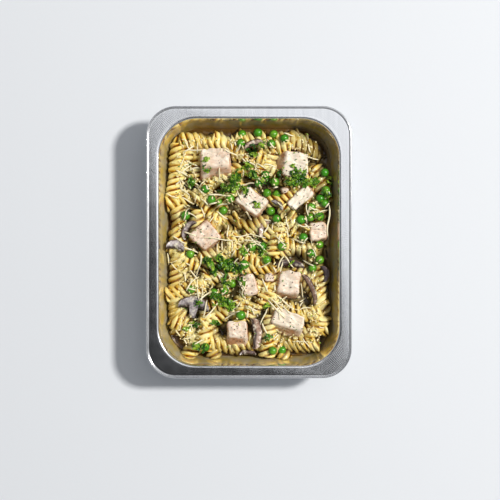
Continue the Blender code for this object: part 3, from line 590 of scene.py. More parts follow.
def new_material(name, constants):
    """Makes a material and sets the constant sockets of its shader."""
    material = bpy.data.materials.new(name)
    material.use_nodes = True
    tree = material.node_tree
    shader = tree.nodes["Principled BSDF"]
    for key, value in constants.items():
        shader.inputs[key].default_value = value
    return material, tree, shader


def grain(tree, size, detail=2.0, stretch=(1, 1, 1)):
    """Noise on object coordinates with features of a size in millimetres, drawn out along an axis."""
    where = add_node(tree, "ShaderNodeTexCoord").outputs["Object"]
    drawn = add_node(tree, "ShaderNodeMapping", {"Scale": stretch}, {"Vector": where}).outputs[0]
    settings = {"Scale": per_size(size), "Detail": detail}
    return add_node(tree, "ShaderNodeTexNoise", settings, {"Vector": drawn}).outputs["Fac"]


def mark(tree, name):
    """Value that a piece keeps at each of its points."""
    return add_node(tree, "ShaderNodeAttribute", {"attribute_name": name}).outputs["Fac"]


def between(tree, value, low, high, to_low=0.0, to_high=1.0):
    """Takes the part of a value from low to high and spreads it over a new range."""
    settings = {"From Min": low, "From Max": high, "To Min": to_low, "To Max": to_high}
    return add_node(tree, "ShaderNodeMapRange", settings, {"Value": value}).outputs[0]


def ramp(tree, value, stops):
    """Colour of a value from stops, each a place from 0 to 1 and a hex value."""
    return add_node(tree, "ShaderNodeValToRGB", {"stops": stops}, {"Fac": value}).outputs[0]


def times(tree, first, second):
    """Multiplies two values."""
    return add_node(tree, "ShaderNodeMath", {"operation": "MULTIPLY"}, {0: first, 1: second}).outputs[0]


def blend(tree, share, first, second):
    """Mixes two colours, each a hex value or the output of a node."""
    settings, links = {}, {"Fac": share}
    for key, colour in (("Color1", first), ("Color2", second)):
        if isinstance(colour, str):
            settings[key] = linear(colour)
        else:
            links[key] = colour
    return add_node(tree, "ShaderNodeMixRGB", settings, links).outputs[0]


def height_share(tree, low, high):
    """Share from 0 to 1 of the way from one height to another, in millimetres."""
    where = add_node(tree, "ShaderNodeTexCoord").outputs["Object"]
    z = add_node(tree, "ShaderNodeSeparateXYZ", None, {0: where}).outputs["Z"]
    return between(tree, z, low * MM, high * MM)


def roughen(tree, shader, value, distance, strength=1.0):
    """Bumps the surface by a value, with its full depth in millimetres."""
    settings = {"Distance": distance * MM, "Strength": strength}
    bump = add_node(tree, "ShaderNodeBump", settings, {"Height": value})
    tree.links.new(bump.outputs[0], shader.inputs["Normal"])


def aluminium_foil(settings):
    """Pressed aluminium: the wall mirrors the food and also has a golden painted reflection of it, shown as
    a film of cream that makes it less metallic; painted shade darkens the grooves between the flange's ribs,
    and the rim is satin.
    """
    material, tree, shader = new_material("pressed_aluminium", {})
    rolled = grain(tree, 3.0, 3.0, (1, 0.06, 1))
    plain = blend(tree, rolled, settings.foil_dark, settings.foil_light)
    # Painted shade: the grooves between the flange's ribs are greyed
    colour = blend(tree, between(tree, mark(tree, "groove"), 0, 1, 0, 0.3), plain, "#8A9098")
    # Painted reflection: the wall below the flange takes the golden colour of the food it mirrors, in
    # patches, and loses some of its metal
    film = mark(tree, "film")
    reflection_patches = times(tree, film, between(tree, grain(tree, 10.0, 3.0), 0.3, 0.65, 0.45, 1.0))
    tree.links.new(blend(tree, reflection_patches, colour, settings.film), shader.inputs["Base Color"])
    tree.links.new(between(tree, film, 0, 1, 1.0, 0.56), shader.inputs["Metallic"])
    satin = mark(tree, "satin")
    smooth = between(tree, satin, 0, 1, settings.wall_roughness, settings.rim_roughness)
    patchy = between(tree, grain(tree, 9.0, 3.0), 0.3, 0.7, 0.9, 1.15)
    tree.links.new(times(tree, smooth, patchy), shader.inputs["Roughness"])
    roughen(tree, shader, grain(tree, 6.0, 2.0), 0.03, 0.4)
    return material


def cooked_pasta(settings):
    """Durum pasta coated in cream: pale ridges with painted shade in the valleys, painted shade lower in the
    heap and a painted shadow of the wall on the right, wet and slightly see-through.
    """
    material, tree, shader = new_material("cooked_durum_pasta", {
        "IOR": 1.36, "Roughness": 0.28, "Coat Weight": 0.28, "Coat Roughness": 0.12,
        "Subsurface Weight": 0.08, "Subsurface Radius": (1.0, 0.6, 0.25), "Subsurface Scale": 1.5 * MM})
    # Painted shade: the ramp runs from pale on the blades' ridges to dark golden brown deep in the valleys
    # between them, and a further blend darkens the valleys
    stops = ((0.0, "#FDEB98"), (0.14, "#F8D65C"), (0.42, "#D8960C"), (0.8, "#8E4A00"))
    ridge = ramp(tree, mark(tree, "valley"), stops)
    tinted = blend(tree, times(tree, mark(tree, "tint"), grain(tree, 14.0)), ridge, settings.pasta_deep)
    flecked = blend(tree, between(tree, grain(tree, 2.2, 3.0), 0.52, 0.72, 0, 0.5), tinted, "#FCF3BC")
    creamed = blend(tree, mark(tree, "cream"), flecked, settings.cream)
    painted_valley_shade = blend(tree, between(tree, mark(tree, "valley"), 0.3, 0.8, 0, 0.6), creamed, "#965000")
    # Painted shade: from 28 mm down to 18.5 mm the pasta turns near black brown, the lower the darker
    deep = blend(tree, height_share(tree, 18.5, 28.0), "#3E1C00", painted_valley_shade)
    # Painted shadow of the tray's wall: near black olive on the pasta by the right wall and in the top right
    # corner
    soaked = blend(tree, mark(tree, "soaked"), deep, "#2E2600")
    tree.links.new(soaked, shader.inputs["Base Color"])
    roughen(tree, shader, grain(tree, 1.1, 3.0), 0.25, 0.6)
    return material


def cream_sauce(settings):
    """Reduced cream with cheese: smooth and pale where it lies high, with painted shade that turns it dark
    brown lower down.
    """
    material, tree, shader = new_material("cream_sauce", {
        "IOR": 1.34, "Roughness": 0.28, "Coat Weight": 0.2, "Coat Roughness": 0.12,
        "Subsurface Weight": 0.15, "Subsurface Radius": (1.0, 0.7, 0.35), "Subsurface Scale": 3.0 * MM})
    top = blend(tree, grain(tree, 5.0, 3.0), settings.cream, settings.pasta_deep)
    # Painted shade: from 23 mm down to 15.5 mm the sauce turns near black brown
    deep = blend(tree, height_share(tree, 15.5, 23.0), "#2A1400", top)
    # Milder painted shade by the wall: golden brown in place of the near black below
    wall_edge_shade = blend(tree, mark(tree, "edge"), deep, "#5E4010")
    tree.links.new(wall_edge_shade, shader.inputs["Base Color"])
    roughen(tree, shader, grain(tree, 1.8, 3.0), 0.4, 0.7)
    return material


def roast_chicken(settings):
    """Roast chicken breast: pale, moist meat with fibres, pits and a few browned patches."""
    material, tree, shader = new_material("roast_chicken_breast", {
        "IOR": 1.45, "Roughness": 0.46, "Coat Weight": 0.12, "Coat Roughness": 0.25,
        "Subsurface Weight": 0.12, "Subsurface Radius": (1.0, 0.5, 0.35), "Subsurface Scale": 2.5 * MM})
    stops = ((0.3, "#F5E6D4"), (0.52, settings.chicken_light), (0.75, settings.chicken_deep))
    meat = ramp(tree, grain(tree, 6.0, 4.0), stops)
    fibre = grain(tree, 1.3, 2.0, (0.25, 1, 1))
    lined = blend(tree, between(tree, fibre, 0.5, 0.75, 0, 0.4), meat, "#E2BCA6")
    pits = blend(tree, between(tree, grain(tree, 1.4, 1.0), 0.64, 0.72, 0, 0.75), lined, "#94664A")
    paler = blend(tree, between(tree, mark(tree, "pale"), 0, 1, 0, 0.7), pits, "#FBF3DE")
    # The sides and underside turn darker tan in patches
    darker_sides = times(tree, mark(tree, "side"), between(tree, grain(tree, 8.0), 0.3, 0.6))
    sided = blend(tree, darker_sides, paler, "#C08C66")
    tree.links.new(sided, shader.inputs["Base Color"])
    roughen(tree, shader, fibre, 0.35, 0.8)
    return material


def cooked_mushroom(settings):
    """Sliced brown mushroom in cream: pale flesh, dark gills, a brown skin along the cap's edge."""
    material, tree, shader = new_material("cooked_mushroom", {
        "IOR": 1.42, "Roughness": 0.38, "Coat Weight": 0.3, "Coat Roughness": 0.15,
        "Subsurface Weight": 0.08, "Subsurface Radius": (1.0, 0.6, 0.4), "Subsurface Scale": 1.5 * MM})
    dark = blend(tree, mark(tree, "warm"), "#4B4148", "#6B4530")
    pale = blend(tree, mark(tree, "warm"), "#D2CBCB", "#D8B9A0")
    flesh = blend(tree, mark(tree, "tone"), pale, dark)
    mottled = blend(tree, between(tree, grain(tree, 2.2, 3.0), 0.42, 0.66, 0, 0.75), flesh, dark)
    gilled = blend(tree, mark(tree, "gill"), mottled, settings.gill)
    skinned = blend(tree, mark(tree, "skin"), gilled, settings.cap_skin)
    creamy = blend(tree, between(tree, grain(tree, 4.5, 3.0), 0.56, 0.7, 0, 0.75), skinned, "#EFE6CE")
    tree.links.new(creamy, shader.inputs["Base Color"])
    roughen(tree, shader, grain(tree, 1.0, 2.0, (1, 0.3, 1)), 0.3, 0.6)
    return material


def garden_pea(settings):
    """Cooked pea: a thin glossy skin over bright green, a little yellower in patches."""
    material, tree, shader = new_material("cooked_pea", {
        "IOR": 1.42, "Roughness": 0.3, "Coat Weight": 0.35, "Coat Roughness": 0.2,
        "Subsurface Weight": 0.05, "Subsurface Radius": (0.5, 1.0, 0.2), "Subsurface Scale": 1.0 * MM})
    mottled = blend(tree, grain(tree, 3.0, 2.0), settings.pea_deep, settings.pea_light)
    tinted = blend(tree, times(tree, mark(tree, "tint"), grain(tree, 6.0)), mottled, "#8CC030")
    facing = add_node(tree, "ShaderNodeLayerWeight", {"Blend": 0.42}).outputs["Facing"]
    # Painted shade: the pea turns dark green towards its outline, where its surface turns away from the view
    outline_shaded = blend(tree, between(tree, facing, 0.1, 0.75), tinted, "#123F05")
    tree.links.new(outline_shaded, shader.inputs["Base Color"])
    roughen(tree, shader, grain(tree, 1.2, 2.0), 0.08, 0.5)
    return material


def grated_cheese(settings):
    """Finely grated hard cheese: pale, matt, waxy strands that let light in at their edges."""
    material, tree, shader = new_material("grated_hard_cheese", {
        "IOR": 1.45, "Roughness": 0.5, "Subsurface Weight": 0.15,
        "Subsurface Radius": (1.0, 0.8, 0.5), "Subsurface Scale": 1.0 * MM})
    strand = blend(tree, grain(tree, 3.0), settings.cheese, "#F4E6B4")
    tree.links.new(blend(tree, mark(tree, "fine"), strand, "#F7E9B4"), shader.inputs["Base Color"])
    roughen(tree, shader, grain(tree, 0.8), 0.1, 0.5)
    return material


def chopped_parsley(settings):
    """Curly parsley, chopped wet: deep green leaves, some lighter than others, with darker flecks."""
    material, tree, shader = new_material("chopped_parsley", {
        "IOR": 1.4, "Roughness": 0.34, "Coat Weight": 0.35, "Coat Roughness": 0.15})
    stops = ((0.1, settings.parsley_deep), (0.5, "#4A840A"), (0.95, settings.parsley_light))
    leaf = ramp(tree, mark(tree, "tint"), stops)
    tree.links.new(blend(tree, between(tree, grain(tree, 1.2), 0.4, 0.7, 0, 0.4), leaf, "#1C4A00"),
                   shader.inputs["Base Color"])
    roughen(tree, shader, grain(tree, 0.6), 0.15, 0.6)
    return material


def ground_pepper():
    """Coarse black pepper: matt, nearly black shards with brown faces."""
    material, tree, shader = new_material("ground_black_pepper", {"IOR": 1.5, "Roughness": 0.7})
    tree.links.new(blend(tree, grain(tree, 0.7), "#17120E", "#4A382B"), shader.inputs["Base Color"])
    return material


def matt_paper(settings):
    """Studio paper: an even matt sheet, drawn with a fibre of 2 mm so that it shows at all."""
    material, tree, shader = new_material("studio_paper", {"IOR": 1.45, "Roughness": 0.85})
    tree.links.new(blend(tree, grain(tree, 2.0), settings.floor_colour, settings.floor_shade),
                   shader.inputs["Base Color"])
    return material


# Shapes

def arc(centre, radius, start, end, steps):
    """Points of an arc as distance in from the edge and height, in degrees from inward."""
    angle = np.radians(np.linspace(start, end, steps + 1))
    return np.stack([centre[0] + radius * np.cos(angle), centre[1] + radius * np.sin(angle)], -1)


def tray_surface(settings):
    """The tray's closed profile carried round a rounded rectangle.

    The profile runs from the middle of the base outside, up the outer wall, under the flange,
    round the bead, over the flange and down the inner wall. Ribs lift the flange by a cosine
    of the place along the edge, and creases push the wall in and out by noise along the edge.
    """
    lean = math.degrees(WALL_LEAN)
    bead_centre = (SLIM_BEAD, TRAY_DEPTH - SLIM_BEAD - BEAD_DROP)
    top = math.degrees(math.asin((FLANGE_TOP - bead_centre[1]) / SLIM_BEAD))
    under = 360 + math.degrees(math.asin((FLANGE_TOP - FOIL - bead_centre[1]) / SLIM_BEAD))
    inner_foot = arc(BASE_CENTRE, BASE_RADIUS, 180 + lean, 270, 4)
    inner_edge = arc(EDGE_CENTRE, EDGE_RADIUS, 90, lean, 4)
    outer_foot = arc(BASE_CENTRE, BASE_RADIUS + FOIL, 270, 180 + lean, 4)
    outer_edge = arc(EDGE_CENTRE, EDGE_RADIUS - FOIL, lean, 90, 3)
    bead = arc(bead_centre, SLIM_BEAD, under, top, 9)
    band = np.array([BAND_START, BAND_START + BAND_RAMP, (BAND_START + BAND_END) / 2,
                     BAND_END - BAND_RAMP, BAND_END])
    over_band = np.stack([band, np.full(len(band), FLANGE_TOP)], -1)
    under_band = over_band[::-1] - [0, FOIL]
    wall_z = np.array(WALL_ROWS)
    inner_wall = np.stack([wall_inset(wall_z), wall_z], -1)
    outer_wall = inner_wall[::-1] - [FOIL / math.cos(WALL_LEAN), 0]
    base = np.array(BASE_ROWS)
    inner_base = np.stack([base[::-1], np.full(len(base), FOIL)], -1)
    outer_base = np.stack([base, np.zeros(len(base))], -1)
    outside = np.concatenate([outer_base, outer_foot, outer_wall, outer_edge, under_band, bead, over_band])
    inside = np.concatenate([inner_edge, inner_wall, inner_foot, inner_base])
    profile = np.concatenate([outside, inside])
    row = np.arange(len(profile))
    facing_in = row >= len(outside)
    behind = np.concatenate([inner_foot[::-1], inner_wall[::-1], inner_edge[[4, 3, 1, 0]]])
    matching = profile[:, 0].copy()
    matching[len(base):len(base) + len(behind)] = behind[:, 0]
    inset, height = profile[:, 0], profile[:, 1]
    deep = inset > BASE_CENTRE[0]
    radius = corner_radius(matching) + np.where(facing_in, 0, matching - inset)
    radius = np.where(deep, np.maximum(corner_radius(inset), 5.0), radius)
    counts = (END_RIBS * RIB_POINTS, SIDE_RIBS * RIB_POINTS, CORNER_RIBS * RIB_POINTS)
    flat, outward = outline(TRAY_WIDTH / 2 - inset, TRAY_LENGTH / 2 - inset, radius, *counts)
    grid = with_height(flat, height[:, None, None])
    rib = 0.5 - 0.5 * np.cos(2 * math.pi * np.arange(flat.shape[1]) / RIB_POINTS)
    in_band = np.clip(np.minimum(inset - BAND_START, BAND_END - inset) / BAND_RAMP, 0, 1)
    in_band = in_band * (height > FLANGE_TOP - 1)
    grid[..., 2] += settings.rib_height / MM * in_band[:, None] * rib
    wall = (inset > WALL_TOP[0] - 0.3) & (inset < BASE_CENTRE[0] - 2)
    fade = np.clip((TRAY_DEPTH - 3 - height) / 6, 0, 1) * wall
    spot = with_height(flat[np.argmin(np.abs(inset - 14))], 0.0)
    bend = np.minimum(np.abs(outward).min(-1) * 2.2, 1)
    crease = noise(spot, FINE_CREASE, 41, 2) * bend + noise(spot, WIDE_CREASE, 42, 2) * 0.5
    shift = settings.crease_height / MM * crease[None, :, None] * fade[:, None, None] * outward[None]
    grid[..., :2] += shift
    satin = np.where(height > FLANGE_TOP - 1.2, 1.0, 0.25)
    satin = np.where(row >= len(outside) + 2, 0.0, satin)
    # Painted reflection of the food on the inner wall, fading in just below the flange
    film = facing_in * np.clip((FLANGE_TOP - 1.5 - height) / 1.5, 0, 1)
    # Painted shade in the grooves between the ribs
    groove = in_band[:, None] * (1 - rib)
    return grid[None], {"satin": satin[:, None], "film": film[:, None], "groove": groove}


def sauce_surface():
    """The body of sauce: rings that follow the wall up, and a top of noise waves on the core's level.

    Height is the core's level less a drop, plus two sizes of noise, falling off towards the wall.
    """
    bottom = FOIL + SAUCE_GAP
    wall_z = np.array([bottom, *SAUCE_ROWS])
    inset = wall_inset(wall_z) + SAUCE_GAP
    radius = np.maximum(corner_radius(inset), 4.0)
    sides, _ = outline(TRAY_WIDTH / 2 - inset, TRAY_LENGTH / 2 - inset, radius, *SAUCE_COUNTS)
    foot = sides[0] * np.array([0.3, 0.7])[:, None, None]
    share = np.linspace(0.995, 0.01, 64)[:, None, None]
    top = sides[-1] * share
    flat = np.concatenate([foot, sides, top])
    spot = with_height(top, 0.0)
    rough = WAVE_HEIGHT * noise(spot, WAVE_SIZE, 21, 2) + RIPPLE_HEIGHT * noise(spot, RIPPLE_SIZE, 22, 2)
    edge = np.clip((1 - share[..., 0]) * 30, 0, 1)
    top_z = (core_level(top[..., 0], top[..., 1]) - SAUCE_DROP + rough) * edge + SAUCE_RIM * (1 - edge)
    low_z = np.concatenate([np.full(2, bottom), wall_z])[:, None] * np.ones(sides.shape[1])
    grid = with_height(flat, np.concatenate([low_z, top_z])[..., None])
    near_top = np.broadcast_to(np.clip(1 - (1 - share[..., 0]) * 9, 0, 1), top_z.shape)
    near_wall = np.concatenate([np.ones_like(low_z), near_top])
    # The edge mark gives the sauce by the wall a milder painted shade; it fades towards the right, where
    # shade from the wall is painted darker
    shaded = np.clip((grid[..., 0] - 40) / 20, 0, 1)
    return grid[None], {"edge": near_wall * (1 - 0.8 * shaded)}


def hollow_share(x, y):
    """How far down in a hollow each place is: the highest of a bell curve round each hollow."""
    hole_x, hole_y, size = np.array(HOLLOWS, float).T
    hole_x, hole_y = from_photo(hole_x, hole_y)
    away = (x[..., None] - hole_x) ** 2 + (y[..., None] - hole_y) ** 2
    return np.exp(-(away / size ** 2) ** 1.5).max(-1)


def fusilli_surfaces(rows, waist, rings, columns, seed):
    """Fusilli: a section whose radius goes from waist to lobe three times round, as one less a power
    of a cosine's lower part, turned in step with the way along an axis that may bow as a parabola.

    Noise lets sauce fill the valleys in places and makes the blades uneven.
    """
    x, y, z, heading, slope, length, bend, start = rows.T
    share = np.linspace(-1, 1, rings)
    share = share * (1 - 0.03 * (1 - share ** 2))
    along = length[:, None] / 2 * share[None]
    angle = full_turn(columns)
    wave = (1 + np.cos(3 * angle + BLADE_SKEW * np.cos(3 * angle))) / 2
    blade = 1 - (1 - wave) ** BLADE_POWER
    number = each_shape(np.arange(len(rows))) * 97.0
    radius = waist + (LOBE_RADIUS - waist) * blade
    turn = start[:, None] + 2 * math.pi * along / TWIST_PITCH
    around = turn[..., None] + angle
    local = np.stack(np.broadcast_arrays(along[..., None] + number, radius * np.cos(around),
                                         radius * np.sin(around)), -1)
    cream = np.clip(noise(local, 6.5, seed, 2) * 1.5 + 0.1, 0, 1)
    radius = radius + cream * CREAM_FILL * (1 - blade)
    radius = radius + BLADE_NOISE * noise(local, 3.6, seed + 5, 2) * (0.5 + blade)
    edge = np.abs(share) > 1 - 1.5 / rings
    radius = radius * np.where(edge, 0.93, 1.0)[None, :, None]
    side = bend[:, None] * (1 - share ** 2)
    axial = along[..., None] + 0.35 * noise(local, 4.5, seed + 9)
    grid = np.stack([axial, side[..., None] + radius * np.cos(around), radius * np.sin(around)], -1)
    grid = place(grid, x, y, z, heading, slope)
    grid[..., 2] -= HOLLOW_DEPTH * hollow_share(grid[..., 0], grid[..., 1])
    grid[..., 2] = np.maximum(grid[..., 2], FOIL + 1.0)
    grid = keep_inside(grid, 0.6)
    tint = each_shape(np.arange(len(rows)) * GOLDEN % 1)
    # Painted shadow of the tray's wall: strongest by the right wall, weaker in the top right corner
    right = 0.75 * np.clip((grid[..., 0] - 56) / 10, 0, 1) * np.clip((grid[..., 1] + 32) / 14, 0, 1)
    soaked = np.maximum(right, 0.55 * np.clip((grid[..., 0] + grid[..., 1] - 118) / 22, 0, 1))
    return grid, {"valley": 1 - blade, "cream": cream, "tint": tint, "soaked": soaked}


def wall_row():
    """Places and headings of fusilli along the wall: five to the left and three on every other side."""
    side_y, end_x = np.linspace(-60, 66, 5), np.linspace(-36, 36, 3)
    x = np.concatenate([np.full(5, ROW_LEFT), np.full(3, ROW_RIGHT), end_x, end_x])
    y = np.concatenate([side_y, side_y[:3] + 8, np.full(3, -ROW_END), np.full(3, ROW_END)])
    return x, y, np.concatenate([np.full(8, 90.0), np.zeros(6)]) + np.resize([5, -4, 3], 14)


def block_surface(width, depth, height, lean_x, lean_y, seed):
    """A cut block of meat: a rounded rectangle carried up from the middle of its foot, out, up its
    sides and in to the middle of its top, with each corner drawn in by its own amount.

    A point between the corners moves by its share of each, and noise along its outward
    direction gives lumps, fibres and pits.
    """
    draw = random.Random(seed)
    half = (width / 2, depth / 2, height / 2)
    signs = list(itertools.product((-1, 1), repeat=3))
    pulls = [[draw.uniform(0, CHUNK_PULL) for _ in range(2)] for _ in signs]
    low_rings, top_rings = np.linspace(0.1, 0.9, 6), np.linspace(0.94, 0.06, 15)
    steps = np.linspace(0, 90, 5)
    sides = np.linspace(-1, 1, 14)[1:-1] * (half[2] - BLOCK_BEVEL)
    elevation = np.radians(np.concatenate([np.full(len(low_rings), -90), -steps[::-1], np.zeros(len(sides)),
                                           steps, np.full(len(top_rings), 90)]))
    reach = np.cos(elevation) * BLOCK_BEVEL
    edge = np.full(len(steps), half[2] - BLOCK_BEVEL)
    level = np.concatenate([np.full(len(low_rings), -edge[0]), -edge, sides, edge,
                            np.full(len(top_rings), edge[0])])
    level = level + np.sin(elevation) * BLOCK_BEVEL
    scale = np.concatenate([low_rings, np.ones(2 * len(steps) + len(sides)), top_rings])
    counts = [max(6, round(size / 0.6)) for size in (width, depth)]
    flat, outward = outline((half[0] - BLOCK_BEVEL) * scale + reach, (half[1] - BLOCK_BEVEL) * scale + reach,
                            BLOCK_CORNER * scale, *counts, 4)
    grid = with_height(flat, level[:, None, None])
    normal = with_height(np.cos(elevation)[:, None, None] * outward, np.sin(elevation)[:, None, None])
    spot = grid + seed * 61.0
    relief = LUMP_HEIGHT * noise(spot, LUMP_SIZE, seed, 2)
    relief = relief + FIBRE_HEIGHT * noise(spot * [0.3, 1, 1], FIBRE_SIZE, seed + 3, 2)
    grid = grid + normal * (relief + 0.1)[..., None]
    shares = [np.clip(grid[..., axis] / half[axis], -1, 1) for axis in range(3)]
    moved = grid.copy()
    for sign, pull in zip(signs, pulls):
        share = np.prod([(1 + s * c) / 2 for s, c in zip(sign, shares)], axis=0)
        moved[..., 0] -= sign[0] * pull[0] * share
        moved[..., 1] -= sign[1] * pull[1] * share
    rise = grid[..., 2] / height
    squeeze = 1 - CHUNK_SQUEEZE * (rise + 0.5)
    moved[..., 0] = moved[..., 0] * squeeze + lean_x * rise
    moved[..., 1] = moved[..., 1] * squeeze + lean_y * rise
    return moved[None], np.clip(1 - np.sin(elevation), 0, 1)[:, None]


def slice_surface(width, depth, bend, stem, seed):
    """A mushroom slice: a flattened section carried across the width, between a domed upper edge
    and a lower edge that drops to a stem, bent up at its ends as a parabola.
    """
    share = np.sin(np.linspace(-math.pi / 2, math.pi / 2, SLICE_GRID[0])) * 0.995
    upper = np.sqrt(1 - share ** 2) * 0.9 + 0.1
    lower = -0.25 + 0.3 * (1 - np.abs(share))
    if stem:
        foot = np.clip((STEM_HALF - np.abs(share)) / 0.07, 0, 1)
        lower = lower * (1 - foot) - foot
    angle = full_turn(SLICE_GRID[1])
    out = np.sign(np.cos(angle)) * np.abs(np.cos(angle)) ** 0.6
    rise = np.sign(np.sin(angle)) * np.abs(np.sin(angle)) ** 0.5
    middle, span = (upper + lower) / 2, (upper - lower) / 2
    across = (middle[:, None] + span[:, None] * out) * depth / 2
    x = np.broadcast_to((share * width / 2)[:, None], across.shape)
    z = (bend * share ** 2)[:, None] + SLICE_THICKNESS / 2 * rise * np.ones_like(x)
    grid = np.stack([x, across, z], -1)
    spot = grid + seed * 53.0
    grid[..., 2] += 0.45 * noise(spot * [1, 1, 0], 4.0, seed, 2)
    grid[..., 1] += 0.4 * noise(spot * [1, 0, 0], 3.0, seed + 4, 2)
    part = (across / (depth / 2) - lower[:, None]) / (2 * span[:, None])
    skin = np.clip((part - 0.82) / 0.12, 0, 1)
    gill = np.clip((0.42 - part) / 0.2, 0, 1)
    if stem:
        gill = gill * (np.abs(share) > 0.3)[:, None]
    return grid[None], {"skin": skin, "gill": gill}


def pea_surfaces(centres, radii, seed):
    """Peas: spheres of rings from pole to pole, turned on their sides, with wrinkles of noise and
    a dimple whose depth falls off as a bell curve round one direction.
    """
    unit = ball_rings(*PEA_GRID)
    number = np.arange(len(radii))[:, None, None, None]
    draw = np.random.default_rng(seed)
    scar = draw.normal(size=(len(radii), 3)) + [0, 0, 0.8]
    scar = scar / np.linalg.norm(scar, axis=1)[:, None]
    close = np.einsum("rck,nk->nrc", unit, scar)
    dimple = PEA_DIMPLE * np.exp((close - 1) / 0.02)
    wrinkle = PEA_WRINKLE * noise(unit[None] * 4 + number * 31.0, 1.6, seed, 2)
    size = radii[:, None, None] * (0.985 + wrinkle - dimple)
    return centres[:, None, None] + unit[None] * size[..., None]


def strand_surfaces(paths, width, thickness):
    """Strands: a flattened six-sided section carried along each path, thinner at both ends."""
    ahead = np.gradient(paths, axis=1)
    side = np.stack([-ahead[..., 1], ahead[..., 0], np.zeros(paths.shape[:2])], -1)
    side = side / np.maximum(np.linalg.norm(side, axis=-1, keepdims=True), 1e-9)
    share = np.linspace(-1, 1, paths.shape[1])
    taper = (1 - 0.65 * np.abs(share) ** 6)[None, :, None, None]
    angle = full_turn(STRAND_GRID[1])
    across = side[:, :, None] * (width[:, None, None, None] / 2 * np.cos(angle)[:, None])
    rise = np.array([0, 0, 1.0]) * (thickness / 2 * np.sin(angle)[:, None])
    return paths[:, :, None] + (across + rise) * taper


def on_topping(x, y):
    """Whether each place is on a block of chicken or a mushroom, from its turned rectangle."""
    block_x, block_y, heading, width, depth = np.array([row[:5] for row in CHICKEN + MUSHROOMS]).T
    turn = np.radians(heading)
    ahead, left = x[:, None] - block_x, y[:, None] - block_y
    along = np.abs(ahead * np.cos(turn) + left * np.sin(turn)) < width / 2
    across = np.abs(left * np.cos(turn) - ahead * np.sin(turn)) < depth / 2
    return (along & across).any(-1)


def strewn(draw, half, count):
    """Draws places evenly over a rectangle, from half its width and length."""
    return draw.uniform(-half[0], half[0], count), draw.uniform(-half[1], half[1], count)


def drape(field, cell, flat, lift):
    """Lays paths over a height map: each point rests on it or is held up by its neighbours."""
    level = level_at(field, cell, flat[..., 0], flat[..., 1]) + lift
    z = level.copy()
    for _ in range(24):
        z[:, 1:-1] = np.maximum(level[:, 1:-1], (z[:, :-2] + z[:, 2:]) / 2 - 0.12)
    z = np.minimum(z, TRAY_DEPTH - 2.5)
    return with_height(flat, z[..., None])


def flake_surfaces(field, cell, centres, sizes, seed):
    """Chopped leaves: a flat section carried along the leaf, as wide as a half circle with lobes,
    and curled by a parabola and a sine along its length.
    """
    draw = np.random.default_rng(seed)
    count = len(sizes)
    share = np.linspace(-0.96, 0.96, LEAF_GRID[0])
    angle = full_turn(LEAF_GRID[1])
    phase = draw.uniform(0, 2 * math.pi, (count, 2))
    width = np.sqrt(1 - share ** 2) * (1 + 0.45 * np.sin(5 * share + phase[:, :1]))
    across = 0.42 * width[..., None] * np.cos(angle)
    curl = draw.uniform(-0.5, 0.9, (count, 1, 1))
    ripple = 0.16 * np.sin(4 * share + phase[:, 1:])[..., None]
    along = np.broadcast_to(share[None, :, None], across.shape)
    rise = curl * (share ** 2)[None, :, None] * 0.5 + ripple + across ** 2 * 0.8
    grid = np.stack([along, across, rise], -1) * sizes[:, None, None, None] / 2
    grid[..., 2] += 0.13 * np.sin(angle)
    z = level_at(field, cell, centres[:, 0], centres[:, 1]) + sizes * 0.16
    turn = draw.uniform(0, 360, count)
    return place(grid, centres[:, 0], centres[:, 1], np.minimum(z, TRAY_DEPTH - 3.2), turn,
                 draw.uniform(-0.5, 0.5, count), draw.uniform(-50, 50, count))


# Settings

def length_value(title, text, default):
    """A length in metres that the sidebar shows in scene units."""
    return bpy.props.FloatProperty(name=title, description=text, default=default, min=0, precision=5,
                                   subtype="DISTANCE", unit="LENGTH")


def share_value(title, text, default):
    """A share from 0 to 1."""
    return bpy.props.FloatProperty(name=title, description=text, default=default, min=0, max=1,
                                   subtype="FACTOR")


def whole_value(title, text, default):
    """A whole number."""
    return bpy.props.IntProperty(name=title, description=text, default=default, min=0)


def power_value(title, text, default):
    """The power of a lamp in watts."""
    return bpy.props.FloatProperty(name=title, description=text, default=default, min=0, unit="POWER")


def colour_value(title, text, default):
    """An sRGB hex colour."""
    return bpy.props.StringProperty(name=title, description=text, default=default)


class TraySettings(bpy.types.PropertyGroup):
    """Relief, gloss and colours of the foil tray"""
    rib_height: length_value("Rib height", "How far the flange's ribs stand up", 0.00003)
    crease_height: length_value("Crease height", "How deep the wall's creases are", 0.00022)
    wall_roughness: share_value("Wall roughness", "How blurred the wall's reflections are", 0.13)
    rim_roughness: share_value("Rim roughness", "How blurred the rim's reflections are", 0.17)
    foil_light: colour_value("Bright foil", "Colour of bright metal", "#F4F5F7")
    foil_dark: colour_value("Dull foil", "Colour of metal where rolling dulled it", "#DDDFE2")
    # Painted reflection: golden colour that stands in for the food mirrored in the wall
    film: colour_value("Film", "Colour of the wall under a film of cream", "#EED676")


